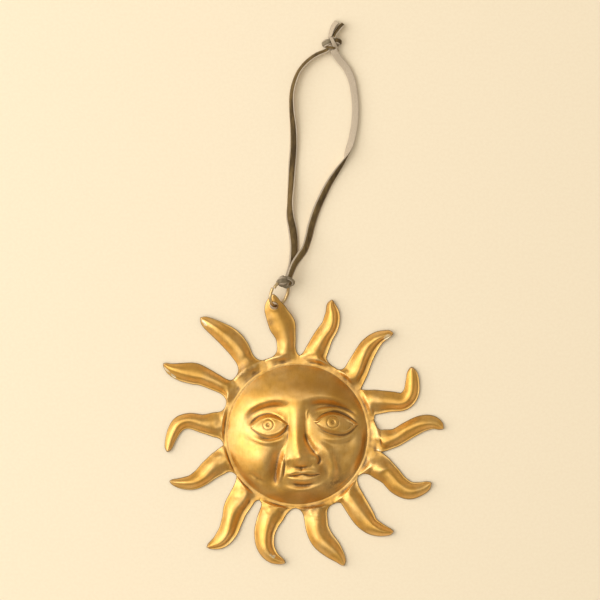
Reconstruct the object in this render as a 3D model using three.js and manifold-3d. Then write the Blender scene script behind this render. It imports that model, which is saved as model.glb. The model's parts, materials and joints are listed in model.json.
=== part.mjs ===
// Hanging sun ornament: a face and fourteen wavy rays pressed in one iron sheet, a wire jump ring
// through the top ray, and a narrow velvet ribbon hitched on the ring and knotted into a loop.
// It lies on its back edges on a table: X to the right, Y toward the ribbon, Z up from the table.

import * as THREE from 'three';
import Module from 'manifold-3d';
import { mergeVertices } from 'three/addons/utils/BufferGeometryUtils.js';

const wasm = await Module();
wasm.setup();

const degree = Math.PI / 180;

// Driving dimensions of the pressed sheet, in millimetres
const sheetThickness = 0.8;
const faceRadius = 28.4;
const domeHeight = 9;
const domeFullness = 2.8;
const flangeWidth = 1.2;
const tipHalfWidth = 0.5;
const hangingHoleDiameter = 2.9;
const hangingHoleOut = 24.8;
const hangingHoleAcross = 0.9;

// Driving dimensions of the jump ring
const ringDiameter = 10.8;
const ringWire = 1.2;
const ringLean = 55 * degree;
const ringHeading = 65.7 * degree;
const ringGapAngle = 79 * degree;
const ringEndGap = 0.4;
const ringEndOffset = 0.35;
const ringEndSpring = 5;

// Driving dimensions of the ribbon
const ribbonWidth = 3.2;
const ribbonThickness = 1.2;
const ribbonCorner = 0.3;
const hitchBore = 1.25;
const hitchLegSpacing = 3;
const hitchLegWidth = 2.2;
const bightOut = 2.2;
const strandExit = 3.5;
const strandBack = 0.6;
const strandRoll = -25;
const knotLobe = 1.0;
const knotRise = 1.4;
const knotStrand = 1.5;
const knotOpening = 0.42;
const knotRight = 19.2;
const knotUp = 96.8;

// Clearances
const tableGap = 0.1;
const strandStart = 0.7;

// Mesh counts
const edgeSteps = 60;
const segmentsPerRay = 6;
const faceRings = 20;
const rootRows = 2;
const bladeRows = 8;
const holeSides = 20;
const ringSides = 8;
const ringSteps = 40;
const hitchSteps = 44;
const strandSteps = 38;
const knotSides = 8;
const knotSteps = 40;
const tailSteps = 6;

const smoothstep = THREE.MathUtils.smoothstep;
const lerp = THREE.MathUtils.lerp;

// The valleys between the rays, clockwise from the one left of the hanging ray.
// Each is its clock angle in degrees and its distance beyond the edge of the face.
const valleys = [
  [335.9, 4.8], [361.5, 3.8], [391.6, 2.7], [414.6, 3.4], [439.7, 3.4], [462, 6.6], [484.4, 1.7],
  [512.3, 3.6], [541.1, 1.8], [569.9, 2.7], [596.4, 1.6], [621.7, 2.1], [652.6, 3.1], [670.2, 6.1],
];

// The rays, clockwise from the hanging ray. Each station of a ray's spine is its distance out from
// the edge of the face, its distance across to the clockwise side, and the ray's half width there.
// The last station is the tip. The skew leans the crest to one side, the lift raises the tip.
const rays = [
  {
    stations: [
      [7.5, 2.6, 3.8], [11.4, 3.1, 4.2], [16.2, 2.7, 5.4],
      [21.2, 1.4, 4.7], [25, 0.9, 3.8], [29.5, 1.6],
    ],
    crest: 2.2, skew: 0.1, lift: 0,
  },
  {
    stations: [
      [6.3, -2.1, 4.6], [12.3, -1.2, 4], [17.6, 0.2, 3.6],
      [22.2, -0.2, 3.1], [25.7, -1.7, 2], [28, -2.1],
    ],
    crest: 2.5, skew: -0.25, lift: 0.6,
  },
  {
    stations: [
      [7.3, -0.2, 4.8], [13, -2, 4.2], [17.7, -3, 3.8],
      [22.4, -2.8, 2.9], [26.3, -1.1, 1.8], [28.3, 0.3],
    ],
    crest: 2.8, skew: 0.3, lift: 1.2,
  },
  {
    stations: [
      [5.8, 0.3, 5.1], [11, 2.2, 4.3], [16.4, 4.4, 3.7],
      [20.6, 2.6, 3.3], [23.2, -1.9, 2.8], [25, -7.2],
    ],
    crest: 2.4, skew: -0.2, lift: 0.3,
  },
  {
    stations: [
      [7.1, 1.9, 4.4], [11.7, 0.7, 3.7], [17, -2.5, 3.6],
      [22.2, -5.1, 3.4], [27, -5.5, 2.7], [31.1, -3.2],
    ],
    crest: 2.5, skew: 0.25, lift: 0.2,
  },
  {
    stations: [
      [8.5, -0.8, 5.1], [12.7, 0.5, 4.4], [17.4, 2.7, 4.2],
      [22.5, 3, 3.7], [26.9, 0.1, 2.6], [29.4, -3.4],
    ],
    crest: 2.7, skew: -0.15, lift: 0.4,
  },
  {
    stations: [
      [5.8, 0.7, 4.9], [14.2, 2.2, 4.6], [18.9, 2.4, 3.7],
      [22.6, 0.9, 2.9], [25.6, -1.2, 1.8], [27.2, -3],
    ],
    crest: 2.6, skew: -0.3, lift: 0.3,
  },
  {
    stations: [
      [6.3, 0.5, 4.8], [10.8, 0.9, 4.7], [15.5, -0.1, 4.7],
      [20.3, -2.9, 4], [24.7, -5.3, 2.4], [28, -6.2],
    ],
    crest: 2.7, skew: 0.2, lift: 0.2,
  },
  {
    stations: [
      [5.5, 1.3, 5.3], [8.9, 2, 4.8], [13.8, 2.1, 4.3],
      [18.9, 0.3, 3.7], [22.3, -3.6, 2.7], [23.3, -9.3],
    ],
    crest: 2.8, skew: -0.2, lift: 0.9,
  },
  {
    stations: [
      [6.1, -1.3, 5.3], [10.8, -2.4, 5], [15.2, -4.5, 4.3],
      [20.1, -6.5, 3.9], [25.2, -6.7, 3.1], [30.3, -4.5],
    ],
    crest: 2.7, skew: 0.3, lift: 0.5,
  },
  {
    stations: [
      [5.9, 0.3, 4.9], [10, -0.8, 4.3], [14.4, -2.4, 3.7],
      [18.8, -2.9, 3.1], [23.5, -1.4, 2.1], [27, 0.8],
    ],
    crest: 2.4, skew: -0.3, lift: 0.3,
  },
  {
    stations: [
      [5.7, -0.3, 5.1], [10.5, -0.5, 3.8], [15.9, -0.1, 3.2],
      [20, -2, 3], [22.2, -7, 2.4], [23.2, -13.7],
    ],
    crest: 2.3, skew: 0.2, lift: 0.4,
  },
  {
    stations: [
      [8.3, 0.9, 3.2], [16.5, 0.1, 3.9], [20.4, -0.9, 4.4],
      [25.2, -3, 3.7], [29.4, -4.1, 2.4], [33.2, -3.9],
    ],
    crest: 2.4, skew: -0.25, lift: 0.5,
  },
  {
    stations: [
      [9.2, 1.3, 3.8], [14.5, 1.9, 4.4], [19.6, 1.4, 4.4],
      [24.8, -0.2, 3.6], [29.5, -1.9, 2.6], [33.2, -3],
    ],
    crest: 2.6, skew: 0.25, lift: 1.0,
  },
];

// Cross section of every ray: an arch that grows from the rim, leans to and fro and dies at the tip
const arch = {
  rootCrest: 1.0, grownAt: 0.3, fadeFrom: 0.65, fade: 0.65, sideFullness: 2.2, topFullness: 1.3, leans: 3,
};

// How far back the sides of a ray's root are drawn in before they turn along its spine
const filletPull = 0.6;

// A bump of height 1 that dies away over its half width and half height
const ovalBell = (x, y, halfWidth, halfHeight) => Math.exp(-((x / halfWidth) ** 2) - (y / halfHeight) ** 2);

// Relief of the face, in millimetres right of and above the middle of the face. The relief fades
// out at the edge, from this share of the radius.
const reliefFade = 0.93;

// Each eye: the edges of its opening, and the outer edges of its lids
const eyes = [
  {
    upper: [[-18.4, 3.0], [-15.1, 5.7], [-11.6, 7.0], [-7.7, 6.2], [-4.4, 4.0]],
    lower: [[-18.4, 3.0], [-15.5, 1.1], [-12.0, 0.1], [-8.1, 1.2], [-4.4, 4.0]],
    crease: [[-20.0, 3.4], [-15.9, 7.2], [-11.2, 8.4], [-7.3, 7.1], [-3.4, 4.4]],
    under: [[-20.0, 3.4], [-15.6, 0.1], [-11.4, -1.1], [-7.3, -0.1], [-3.4, 4.4]],
    iris: [-11.8, 4.2],
  },
  {
    upper: [[7.6, 4.8], [10.6, 7.1], [14.1, 8.1], [18.0, 7.2], [23.4, 4.0]],
    lower: [[7.6, 4.8], [11.0, 2.9], [15.3, 1.7], [19.5, 1.5], [23.4, 4.0]],
    crease: [[6.4, 5.6], [10.8, 8.5], [15.2, 9.3], [19.9, 7.7], [25.2, 4.2]],
    under: [[6.4, 5.6], [10.6, 1.9], [15.3, 0.6], [19.8, 0.4], [25.2, 4.2]],
    iris: [14.4, 5.2],
  },
];
const lids = { height: 0.95, rise: 1.6, edge: 0.5 };
const eyeball = { drop: 0.55, height: 0.75, halfWidth: 7.2, halfHeight: 4.6, below: 0.6 };

// The nose from under its tip to its root: how far up, and its left foot, right foot and height there
const nose = {
  stations: [
    [-14.4, -2.8, 4.6, 0], [-13.4, -3.0, 4.8, 0.3], [-12.2, -3.6, 5.6, 1.2], [-10.4, -4.4, 6.5, 2.6],
    [-8.4, -4.8, 6.6, 2.9], [-5.5, -4.6, 5.0, 2.4], [-2, -4.1, 3.6, 1.9], [2, -3.8, 2.9, 1.3],
    [7, -3.7, 2.7, 0.95], [12, -3.9, 2.9, 0.55], [16, -4.6, 3.6, 0],
  ],
  sideFullness: 3,
  topFullness: 1.3,
};

// Soft swellings: how far right and up, half width, half height and height
const swellings = [
  { name: 'left cheek', at: [-15.5, -9.5], halfWidth: 7.5, halfHeight: 8.5, height: 1.5 },
  { name: 'right cheek', at: [16.5, -7.5], halfWidth: 6, halfHeight: 7.5, height: 0.5 },
  { name: 'muzzle', at: [2.6, -16.4], halfWidth: 7.5, halfHeight: 5, height: 0.9 },
  { name: 'tip of the nose', at: [0.7, -9], halfWidth: 2.8, halfHeight: 2.2, height: 0.5 },
  { name: 'left wing of the nose', at: [-4.3, -9.9], halfWidth: 1.6, halfHeight: 1.8, height: 1.1 },
  { name: 'right wing of the nose', at: [7, -9.8], halfWidth: 1.6, halfHeight: 1.8, height: 1 },
  { name: 'chin', at: [1, -23.6], halfWidth: 7.5, halfHeight: 2.2, height: 0.7 },
];

// Ridges, and grooves where the height is below 0. Each runs along a curve, with its widths on the
// left and on the right of the curve's direction.
const strokeFade = 0.25;
const strokes = [
  {
    name: 'brows', height: 0.9, left: 4, right: 2.6,
    line: [[-24, 5], [-19, 11.6], [-10, 15.8], [0, 15.8], [8, 16.6], [16, 15.6], [22, 12], [25.5, 8]],
  },
  {
    name: 'hollow under the left brow', height: -1.8, left: 2.3, right: 4,
    line: [[-21.6, 3.6], [-20, 6.2], [-17, 8.8], [-13.4, 10.4], [-8.8, 11.2], [-5.2, 10.4], [-4, 8]],
  },
  {
    name: 'hollow under the right brow', height: -1.8, left: 2.2, right: 3.6,
    line: [[3.9, 8.4], [5.2, 10.8], [8.8, 11.9], [14.1, 11.5], [19.6, 9.6], [24.6, 6.4]],
  },
  {
    name: 'hollow left of the nose', height: -0.7, left: 1.6, right: 1.4,
    line: [[-4.2, 10], [-4, 6], [-4.1, 2], [-4.3, -3]],
  },
  {
    name: 'hollow right of the nose', height: -0.9, left: 1.4, right: 1.2,
    line: [[4, -1], [3.8, 2], [3.7, 6], [4.1, 10]],
  },
  {
    name: 'bag under the left eye', height: 0.4, left: 1.1, right: 1.1,
    line: [[-20.5, 0.2], [-15.3, -2.4], [-11.2, -3.1], [-6.5, -1.9], [-3.8, 0.2]],
  },
  {
    name: 'hollow under the left bag', height: -0.5, left: 1.3, right: 2.4,
    line: [[-24.6, 1.6], [-21, -1.6], [-15.3, -4.5], [-11, -4.9], [-6.2, -3.7]],
  },
  {
    name: 'bag under the right eye', height: 0.4, left: 1, right: 1.1,
    line: [[8.6, -0.6], [14.2, -1.9], [19.5, -1.2], [24, 1.8]],
  },
  {
    name: 'hollow under the right bag', height: -0.4, left: 1.1, right: 2,
    line: [[7.6, -1.4], [14.6, -3.8], [20, -3.2], [24.4, -0.4]],
  },
  {
    name: 'crease beside the right wing of the nose', height: -1.3, left: 1.5, right: 1.1,
    line: [[3.6, 1.5], [4.4, -2.5], [6.2, -5.8], [8.4, -8.2]],
  },
  {
    name: 'fold left of the mouth', height: -1.6, left: 1.8, right: 4.6,
    line: [[-5.2, -3.6], [-8.8, -8.2], [-10.4, -13.2], [-10.9, -18], [-10, -22]],
  },
  {
    name: 'crest beside the left fold', height: 0.6, left: 0.7, right: 1.3,
    line: [[-5.6, -4.6], [-6.8, -9.5], [-7.6, -14], [-8.2, -18.4], [-7.8, -21]],
  },
  {
    name: 'fold right of the mouth', height: -1.1, left: 1.8, right: 1.6,
    line: [[7.8, -7.8], [9.8, -11.4], [10.8, -14.6], [10.4, -18.4]],
  },
  {
    name: 'crest beside the right fold', height: 1.2, left: 1.8, right: 2.2,
    line: [[6.8, -2], [9.6, -4.4], [12, -7.6], [13.5, -11.8], [13.8, -16.4], [12.2, -20.4]],
  },
  {
    name: 'drop from the crest into the right cheek', height: -0.8, left: 2.4, right: 1.3,
    line: [[13.8, -6.8], [16.2, -11], [16.5, -16], [15, -19.6]],
  },
  {
    name: 'upper lip', height: 0.8, left: 1.2, right: 1.1,
    line: [
      [-4.4, -16.3], [-2.3, -15.4], [-0.5, -14.7], [1.8, -15.2], [4.4, -14.6], [7.2, -15], [10.2, -15.4],
    ],
  },
  {
    name: 'line of the mouth', height: -0.8, left: 0.6, right: 0.6,
    line: [[-4.6, -16.8], [-0.3, -16.5], [2.2, -16], [5.7, -16.5], [10.2, -15.7]],
  },
  {
    name: 'lower lip', height: 0.75, left: 1.1, right: 1,
    line: [[-3.6, -17.6], [-0.5, -18.1], [2.2, -18.4], [5, -18], [8.8, -17]],
  },
  {
    name: 'hollow under the lower lip', height: -0.9, left: 0.9, right: 1.1,
    line: [[-4.4, -19.3], [-1, -20.2], [2.4, -20.5], [5.4, -20.1], [8.6, -18.8]],
  },
  {
    name: 'crest of the chin', height: 0.6, left: 1, right: 1.6,
    line: [[-6.6, -20.6], [-1.1, -22.2], [4.4, -22], [9.4, -20.6], [12.7, -17.8]],
  },
];

// Spacing of a stroke's samples, as a share of its narrower width
const strokeSpacing = 0.9;

const smoothCurve = (points) => new THREE.CatmullRomCurve3(
  points.map(([a, b]) => new THREE.Vector3(a, b, 0)),
  false,
  'centripetal',
);

// A stroke's samples. Each holds its share of the stroke's height, fading out toward both ends.
function strokeSamples({ height, left, right, line }) {
  const width = Math.min(left, right);
  const curve = smoothCurve(line);
  const length = curve.getLength();
  const count = Math.ceil(length / (strokeSpacing * width));
  const samples = [];
  for (let i = 0; i <= count; i++) {
    const share = i / count;
    const ends = smoothstep(share, 0, strokeFade) * (1 - smoothstep(share, 1 - strokeFade, 1));
    const strength = ends * height * length / count / (width * Math.sqrt(Math.PI));
    samples.push({ place: curve.getPointAt(share), tangent: curve.getTangentAt(share), strength });
  }
  return { samples, width, left, right };
}
const sampledStrokes = strokes.map(strokeSamples);

function strokeRelief(x, y, { samples, width, left, right }) {
  let height = 0;
  for (const { place, tangent, strength } of samples) {
    const dx = x - place.x;
    const dy = y - place.y;
    const along = dx * tangent.x + dy * tangent.y;
    const across = dy * tangent.x - dx * tangent.y;
    height += strength * ovalBell(along, across, width, across > 0 ? left : right);
  }
  return height;
}

// A smooth curve through points, as a function of their first coordinate, which only grows
function edgeThrough(points) {
  const line = smoothCurve(points).getPoints(edgeSteps);
  return (x) => {
    const next = line.findIndex((point) => point.x > x);
    if (next <= 0) {
      return line[next === 0 ? 0 : line.length - 1].y;
    }
    const before = line[next - 1];
    const after = line[next];
    return lerp(before.y, after.y, (x - before.x) / (after.x - before.x));
  };
}

const eyeEdges = eyes.map(({ upper, lower, crease, under, iris }) => ({
  upper: edgeThrough(upper),
  lower: edgeThrough(lower),
  crease: edgeThrough(crease),
  under: edgeThrough(under),
  iris,
}));

// Two lids as one almond shaped swelling, opened over an eyeball
function eyeRelief(x, y, { upper, lower, crease, under, iris }) {
  const inLids = smoothstep(Math.min(crease(x) - y, y - under(x)), 0, lids.rise);
  const inOpening = smoothstep(Math.min(upper(x) - y, y - lower(x)), 0, lids.edge);
  const right = (x - iris[0]) / eyeball.halfWidth;
  const up = (y - iris[1] + eyeball.below) / eyeball.halfHeight;
  const ball = eyeball.height * Math.max(0, 1 - right ** 2 - up ** 2) - eyeball.drop;
  return lids.height * inLids + inOpening * ball;
}

const noseLeft = edgeThrough(nose.stations.map(([up, left]) => [up, left]));
const noseRight = edgeThrough(nose.stations.map(([up, , right]) => [up, right]));
const noseHeight = edgeThrough(nose.stations.map(([up, , , height]) => [up, height]));

function noseRelief(x, y) {
  const middle = (noseRight(y) + noseLeft(y)) / 2;
  const halfWidth = (noseRight(y) - noseLeft(y)) / 2;
  const side = Math.abs((x - middle) / halfWidth) ** nose.sideFullness;
  return noseHeight(y) * Math.max(0, 1 - side) ** nose.topFullness;
}

// Height of the sheet's upper side over the face, above the flat flange around it.
function faceHeight(x, y) {
  const share = Math.hypot(x, y) / faceRadius;
  const dome = domeHeight * (1 - share ** domeFullness);
  let relief = noseRelief(x, y);
  for (const eye of eyeEdges) {
    relief += eyeRelief(x, y, eye);
  }
  for (const { at, halfWidth, halfHeight, height } of swellings) {
    relief += height * ovalBell(x - at[0], y - at[1], halfWidth, halfHeight);
  }
  for (const stroke of sampledStrokes) {
    relief += strokeRelief(x, y, stroke);
  }
  return dome + relief * (1 - smoothstep(share, reliefFade, 1));
}

// A ray's own frame: its root direction, halfway between the valleys on its two sides.
function rayFrame(index) {
  const start = valleys[index][0];
  const following = valleys[(index + 1) % valleys.length][0];
  const end = following > start ? following : following + 360;
  const angle = (start + end) / 2 * degree;
  const outward = new THREE.Vector2(Math.sin(angle), Math.cos(angle));
  const clockwise = new THREE.Vector2(outward.y, -outward.x);
  return { start: start * degree, end: end * degree, outward, clockwise };
}

const placeInRay = (frame, out, across) => frame.outward.clone().multiplyScalar(faceRadius + out)
  .addScaledVector(frame.clockwise, across);

// The spine of a ray as one smooth curve, which carries the half width as its third coordinate.
function raySpine(ray, frame) {
  return new THREE.CatmullRomCurve3(ray.stations.map(([out, across, halfWidth = tipHalfWidth]) => {
    const place = placeInRay(frame, out, across);
    return new THREE.Vector3(place.x, place.y, halfWidth);
  }), false, 'catmullrom');
}

// Point of a ray at a share of its spine, and at a column from -1 to 1 across it.
function bladePoint(spine, share, column) {
  const middle = spine.getPoint(share);
  const tangent = spine.getTangent(share);
  const along = new THREE.Vector2(tangent.x, tangent.y).normalize();
  return new THREE.Vector2(middle.x + along.y * column * middle.z, middle.y - along.x * column * middle.z);
}

// Between the rim and the first station the sides swing out to the valleys in a rounded fillet.
function rootPoint(rimPoint, spine, share, column) {
  const end = bladePoint(spine, 0, column);
  const tangent = spine.getTangent(0);
  const along = new THREE.Vector2(tangent.x, tangent.y).normalize();
  const reach = end.clone().sub(rimPoint).dot(along);
  const bend = end.clone().addScaledVector(along, -filletPull * reach);
  return new THREE.Vector2(
    (1 - share) ** 2 * rimPoint.x + 2 * share * (1 - share) * bend.x + share ** 2 * end.x,
    (1 - share) ** 2 * rimPoint.y + 2 * share * (1 - share) * bend.y + share ** 2 * end.y,
  );
}

// Height of a ray's arch above its edges. It grows from the rim and dies down toward the tip.
function rayArch(ray, share, column) {
  const leaned = column - ray.skew * Math.sin(share * arch.leans * Math.PI) * (1 - column ** 2);
  const profile = Math.max(0, 1 - Math.abs(leaned) ** arch.sideFullness) ** arch.topFullness;
  const grown = lerp(arch.rootCrest, ray.crest, smoothstep(share, 0, arch.grownAt));
  return grown * (1 - arch.fade * smoothstep(share, arch.fadeFrom, 1)) * profile;
}

// Height of the top of the ring: its low side just clears the table.
const ringRadius = ringDiameter / 2;
const ringHeight = ringRadius * Math.sin(ringLean) + ringWire / 2 + tableGap;

// The hanging ray rises so that its hole, at half the sheet's thickness, meets the ring's wire.
const hangingShare = 0.83;
const hangingRay = rays[0];
const archAtHole = rayArch(hangingRay, hangingShare, 0);
hangingRay.lift = (ringHeight - archAtHole - sheetThickness / 2) / hangingShare ** 2;

// Closes an open sheet of triangles into a solid: a lower side below it and walls round its edges.
function thicken(points, faces, thickness) {
  const count = points.length;
  const positions = [...points, ...points.map((p) => new THREE.Vector3(p.x, p.y, p.z - thickness))];
  const edges = new Map();
  for (const [a, b, c] of faces) {
    for (const [from, to] of [[a, b], [b, c], [c, a]]) {
      edges.set(`${from} ${to}`, [from, to]);
    }
  }
  const indices = [];
  for (const [a, b, c] of faces) {
    indices.push(a, b, c, a + count, c + count, b + count);
  }
  for (const [from, to] of edges.values()) {
    if (!edges.has(`${to} ${from}`)) {
      indices.push(from, from + count, to + count, from, to + count, to);
    }
  }
  const geometry = new THREE.BufferGeometry();
  const coordinates = positions.flatMap((point) => point.toArray());
  geometry.setAttribute('position', new THREE.Float32BufferAttribute(coordinates, 3));
  geometry.setIndex(indices);
  return geometry;
}

// The whole sheet: rings over the face, a flat flange, the rim, and a grid of rows on each ray.
function sheetGeometry() {
  const points = [new THREE.Vector3(0, 0, sheetThickness + faceHeight(0, 0))];
  const faces = [];
  const addPoint = (place, height) => {
    points.push(new THREE.Vector3(place.x, place.y, sheetThickness + height));
    return points.length - 1;
  };
  const addQuad = (inner, innerNext, outer, outerNext) => {
    faces.push([inner, innerNext, outerNext], [inner, outerNext, outer]);
  };

  const spokes = [];
  rays.forEach((ray, index) => {
    const frame = rayFrame(index);
    const beyond = valleys[index][1];
    const beyondNext = valleys[(index + 1) % valleys.length][1];
    for (let step = 0; step < segmentsPerRay; step++) {
      const share = step / segmentsPerRay;
      spokes.push({
        angle: lerp(frame.start, frame.end, share),
        rimRadius: faceRadius + lerp(beyond, beyondNext, share),
        crest: rayArch(ray, 0, 2 * share - 1),
      });
    }
  });
  const onSpoke = ({ angle }, radius) => (
    new THREE.Vector2(radius * Math.sin(angle), radius * Math.cos(angle))
  );

  let previous = null;
  const addRing = (ring) => {
    ring.forEach((vertex, j) => {
      const next = (j + 1) % ring.length;
      if (previous) {
        addQuad(previous[j], previous[next], vertex, ring[next]);
      } else {
        faces.push([0, ring[next], vertex]);
      }
    });
    previous = ring;
  };
  for (let i = 1; i <= faceRings; i++) {
    const radius = faceRadius * i / faceRings;
    addRing(spokes.map((spoke) => {
      const place = onSpoke(spoke, radius);
      return addPoint(place, i === faceRings ? 0 : faceHeight(place.x, place.y));
    }));
  }
  addRing(spokes.map((spoke) => addPoint(onSpoke(spoke, faceRadius + flangeWidth), 0)));
  const rim = spokes.map((spoke) => addPoint(onSpoke(spoke, spoke.rimRadius), spoke.crest));
  addRing(rim);

  rays.forEach((ray, index) => {
    const spine = raySpine(ray, rayFrame(index));
    let row = [];
    for (let step = 0; step <= segmentsPerRay; step++) {
      row.push(rim[(index * segmentsPerRay + step) % rim.length]);
    }
    const rimPoints = row.map((vertex) => new THREE.Vector2(points[vertex].x, points[vertex].y));
    const rows = rootRows + bladeRows;
    for (let r = 1; r <= rows; r++) {
      const share = r / rows;
      const next = rimPoints.map((rimPoint, step) => {
        const column = 2 * step / segmentsPerRay - 1;
        const place = r < rootRows
          ? rootPoint(rimPoint, spine, r / rootRows, column)
          : bladePoint(spine, (r - rootRows) / bladeRows, column);
        return addPoint(place, rayArch(ray, share, column) + ray.lift * share ** 2);
      });
      for (let step = 0; step < segmentsPerRay; step++) {
        addQuad(row[step], row[step + 1], next[step], next[step + 1]);
      }
      row = next;
    }
  });
  return thicken(points, faces, sheetThickness);
}

// Boolean cut of one closed geometry by another
function toManifold(geometry) {
  const bare = geometry.clone();
  bare.deleteAttribute('normal');
  bare.deleteAttribute('uv');
  const merged = mergeVertices(bare, 1e-4);
  return new wasm.Manifold(new wasm.Mesh({
    numProp: 3,
    vertProperties: new Float32Array(merged.attributes.position.array),
    triVerts: new Uint32Array(merged.index.array),
  }));
}

function toGeometry(manifold) {
  const mesh = manifold.getMesh();
  const geometry = new THREE.BufferGeometry();
  geometry.setAttribute('position', new THREE.BufferAttribute(new Float32Array(mesh.vertProperties), 3));
  geometry.setIndex(new THREE.BufferAttribute(new Uint32Array(mesh.triVerts), 1));
  return geometry;
}

// Hanging hole, punched square to the table near the tip of the first ray
const holePlace = placeInRay(rayFrame(0), hangingHoleOut, hangingHoleAcross);

function punchedSheet() {
  const holeRadius = hangingHoleDiameter / 2;
  const punchLength = 2 * ringHeight;
  const punch = new THREE.CylinderGeometry(holeRadius, holeRadius, punchLength, holeSides);
  punch.rotateX(Math.PI / 2);
  punch.translate(holePlace.x, holePlace.y, ringHeight);
  return toGeometry(toManifold(sheetGeometry()).subtract(toManifold(punch)));
}

// A path that carries a flat section with its face kept toward a chosen direction
class FacedPath extends THREE.CatmullRomCurve3 {
  constructor(points, faceAt) {
    super(points, false, 'centripetal');
    this.faceAt = faceAt;
  }

  computeFrenetFrames(steps) {
    const frames = { tangents: [], normals: [], binormals: [] };
    for (let i = 0; i <= steps; i++) {
      const tangent = this.getTangentAt(i / steps);
      const facing = this.faceAt(this, i / steps, tangent);
      const side = new THREE.Vector3().crossVectors(facing, tangent).normalize();
      frames.tangents.push(tangent);
      frames.normals.push(side);
      frames.binormals.push(new THREE.Vector3().crossVectors(tangent, side));
    }
    return frames;
  }
}

// Flat section with rounded edges, eight sided
function flatSection(width, thickness) {
  const x = width / 2;
  const y = thickness / 2;
  const corner = thickness * ribbonCorner;
  const outline = [
    [x, -y + corner], [x, y - corner], [x - corner, y], [-x + corner, y],
    [-x, y - corner], [-x, -y + corner], [-x + corner, -y], [x - corner, -y],
  ];
  return new THREE.Shape(outline.map(([a, b]) => new THREE.Vector2(a, b)));
}

function roundSection(diameter, sides) {
  const outline = [];
  for (let i = 0; i < sides; i++) {
    const angle = 2 * Math.PI * i / sides;
    outline.push(new THREE.Vector2(diameter / 2 * Math.cos(angle), diameter / 2 * Math.sin(angle)));
  }
  return new THREE.Shape(outline);
}

const sweep = (section, path, steps) => new THREE.ExtrudeGeometry(section, {
  steps, extrudePath: path, bevelEnabled: false, curveSegments: 1,
});

// The ring's own frame: heading runs from the hole to the hitch, rise leans up across it
const ringAxis = new THREE.Vector3(Math.cos(ringHeading), Math.sin(ringHeading), 0);
const ringRise = new THREE.Vector3(
  -Math.sin(ringHeading) * Math.cos(ringLean),
  Math.cos(ringHeading) * Math.cos(ringLean),
  Math.sin(ringLean),
);
const ringNormal = new THREE.Vector3().crossVectors(ringAxis, ringRise);
const ringCentre = new THREE.Vector3(holePlace.x, holePlace.y, ringHeight)
  .addScaledVector(ringAxis, ringRadius);
const onRing = (angle, offset) => ringCentre.clone()
  .addScaledVector(ringAxis, ringRadius * Math.cos(angle))
  .addScaledVector(ringRise, ringRadius * Math.sin(angle))
  .addScaledVector(ringNormal, offset);

// An open loop of wire whose two ends stand side by side with a small gap
class RingPath extends THREE.Curve {
  getPoint(share, target = new THREE.Vector3()) {
    const halfTurn = Math.PI - ringEndGap / (2 * ringRadius);
    const turn = lerp(-halfTurn, halfTurn, share);
    const offset = ringEndOffset * (turn / Math.PI) ** ringEndSpring;
    return target.copy(onRing(ringGapAngle + Math.PI + turn, offset));
  }
}
const ringGeometry = sweep(roundSection(ringWire, ringSides), new RingPath(), ringSteps);

// The hitch's own frame: along the wire, outward from the ring, and to the front
// The legs wrap a curved wire, so the hitch sits at the wire's middle depth under them
const hitchHalfWidth = (hitchLegSpacing + hitchLegWidth) / 2;
const hitchReach = (ringRadius + Math.sqrt(ringRadius ** 2 - hitchHalfWidth ** 2)) / 2;
const hitchCentre = ringCentre.clone().addScaledVector(ringAxis, hitchReach);
const hitchAlong = ringRise.clone().negate();
const hitchFront = new THREE.Vector3().crossVectors(hitchAlong, ringAxis);
const inHitch = (along, out, front) => hitchCentre.clone()
  .addScaledVector(hitchAlong, along)
  .addScaledVector(ringAxis, out)
  .addScaledVector(hitchFront, front);

const wrapRadius = hitchBore + ribbonThickness / 2;
const legOut = hitchLegSpacing / 2;
const bightAngles = [90, 45];
const wrapAngles = [80, 40, 0, -45, -90, -130];

// Half of the hitch, from the middle of its bight round the wire to where the strand leaves
function halfHitch(side) {
  const places = [];
  for (const angle of bightAngles) {
    places.push([
      side * legOut * Math.cos(angle * degree),
      bightOut - legOut + legOut * Math.sin(angle * degree),
      wrapRadius,
    ]);
  }
  for (const angle of wrapAngles) {
    const out = -wrapRadius * Math.cos(angle * degree);
    places.push([side * legOut, out, wrapRadius * Math.sin(angle * degree)]);
  }
  places.push([side * legOut, strandExit, -strandBack]);
  return places;
}

function hitchGeometry() {
  const left = halfHitch(-1).reverse();
  const right = halfHitch(1).slice(1);
  const path = new FacedPath([...left, ...right].map((place) => inHitch(...place)), (curve, share) => {
    const local = curve.getPointAt(share).sub(hitchCentre);
    const out = Math.min(0, local.dot(ringAxis));
    const front = local.dot(hitchFront);
    return hitchFront.clone().multiplyScalar(front).addScaledVector(ringAxis, out);
  });
  return sweep(flatSection(hitchLegWidth, ribbonThickness), path, hitchSteps);
}

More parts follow.
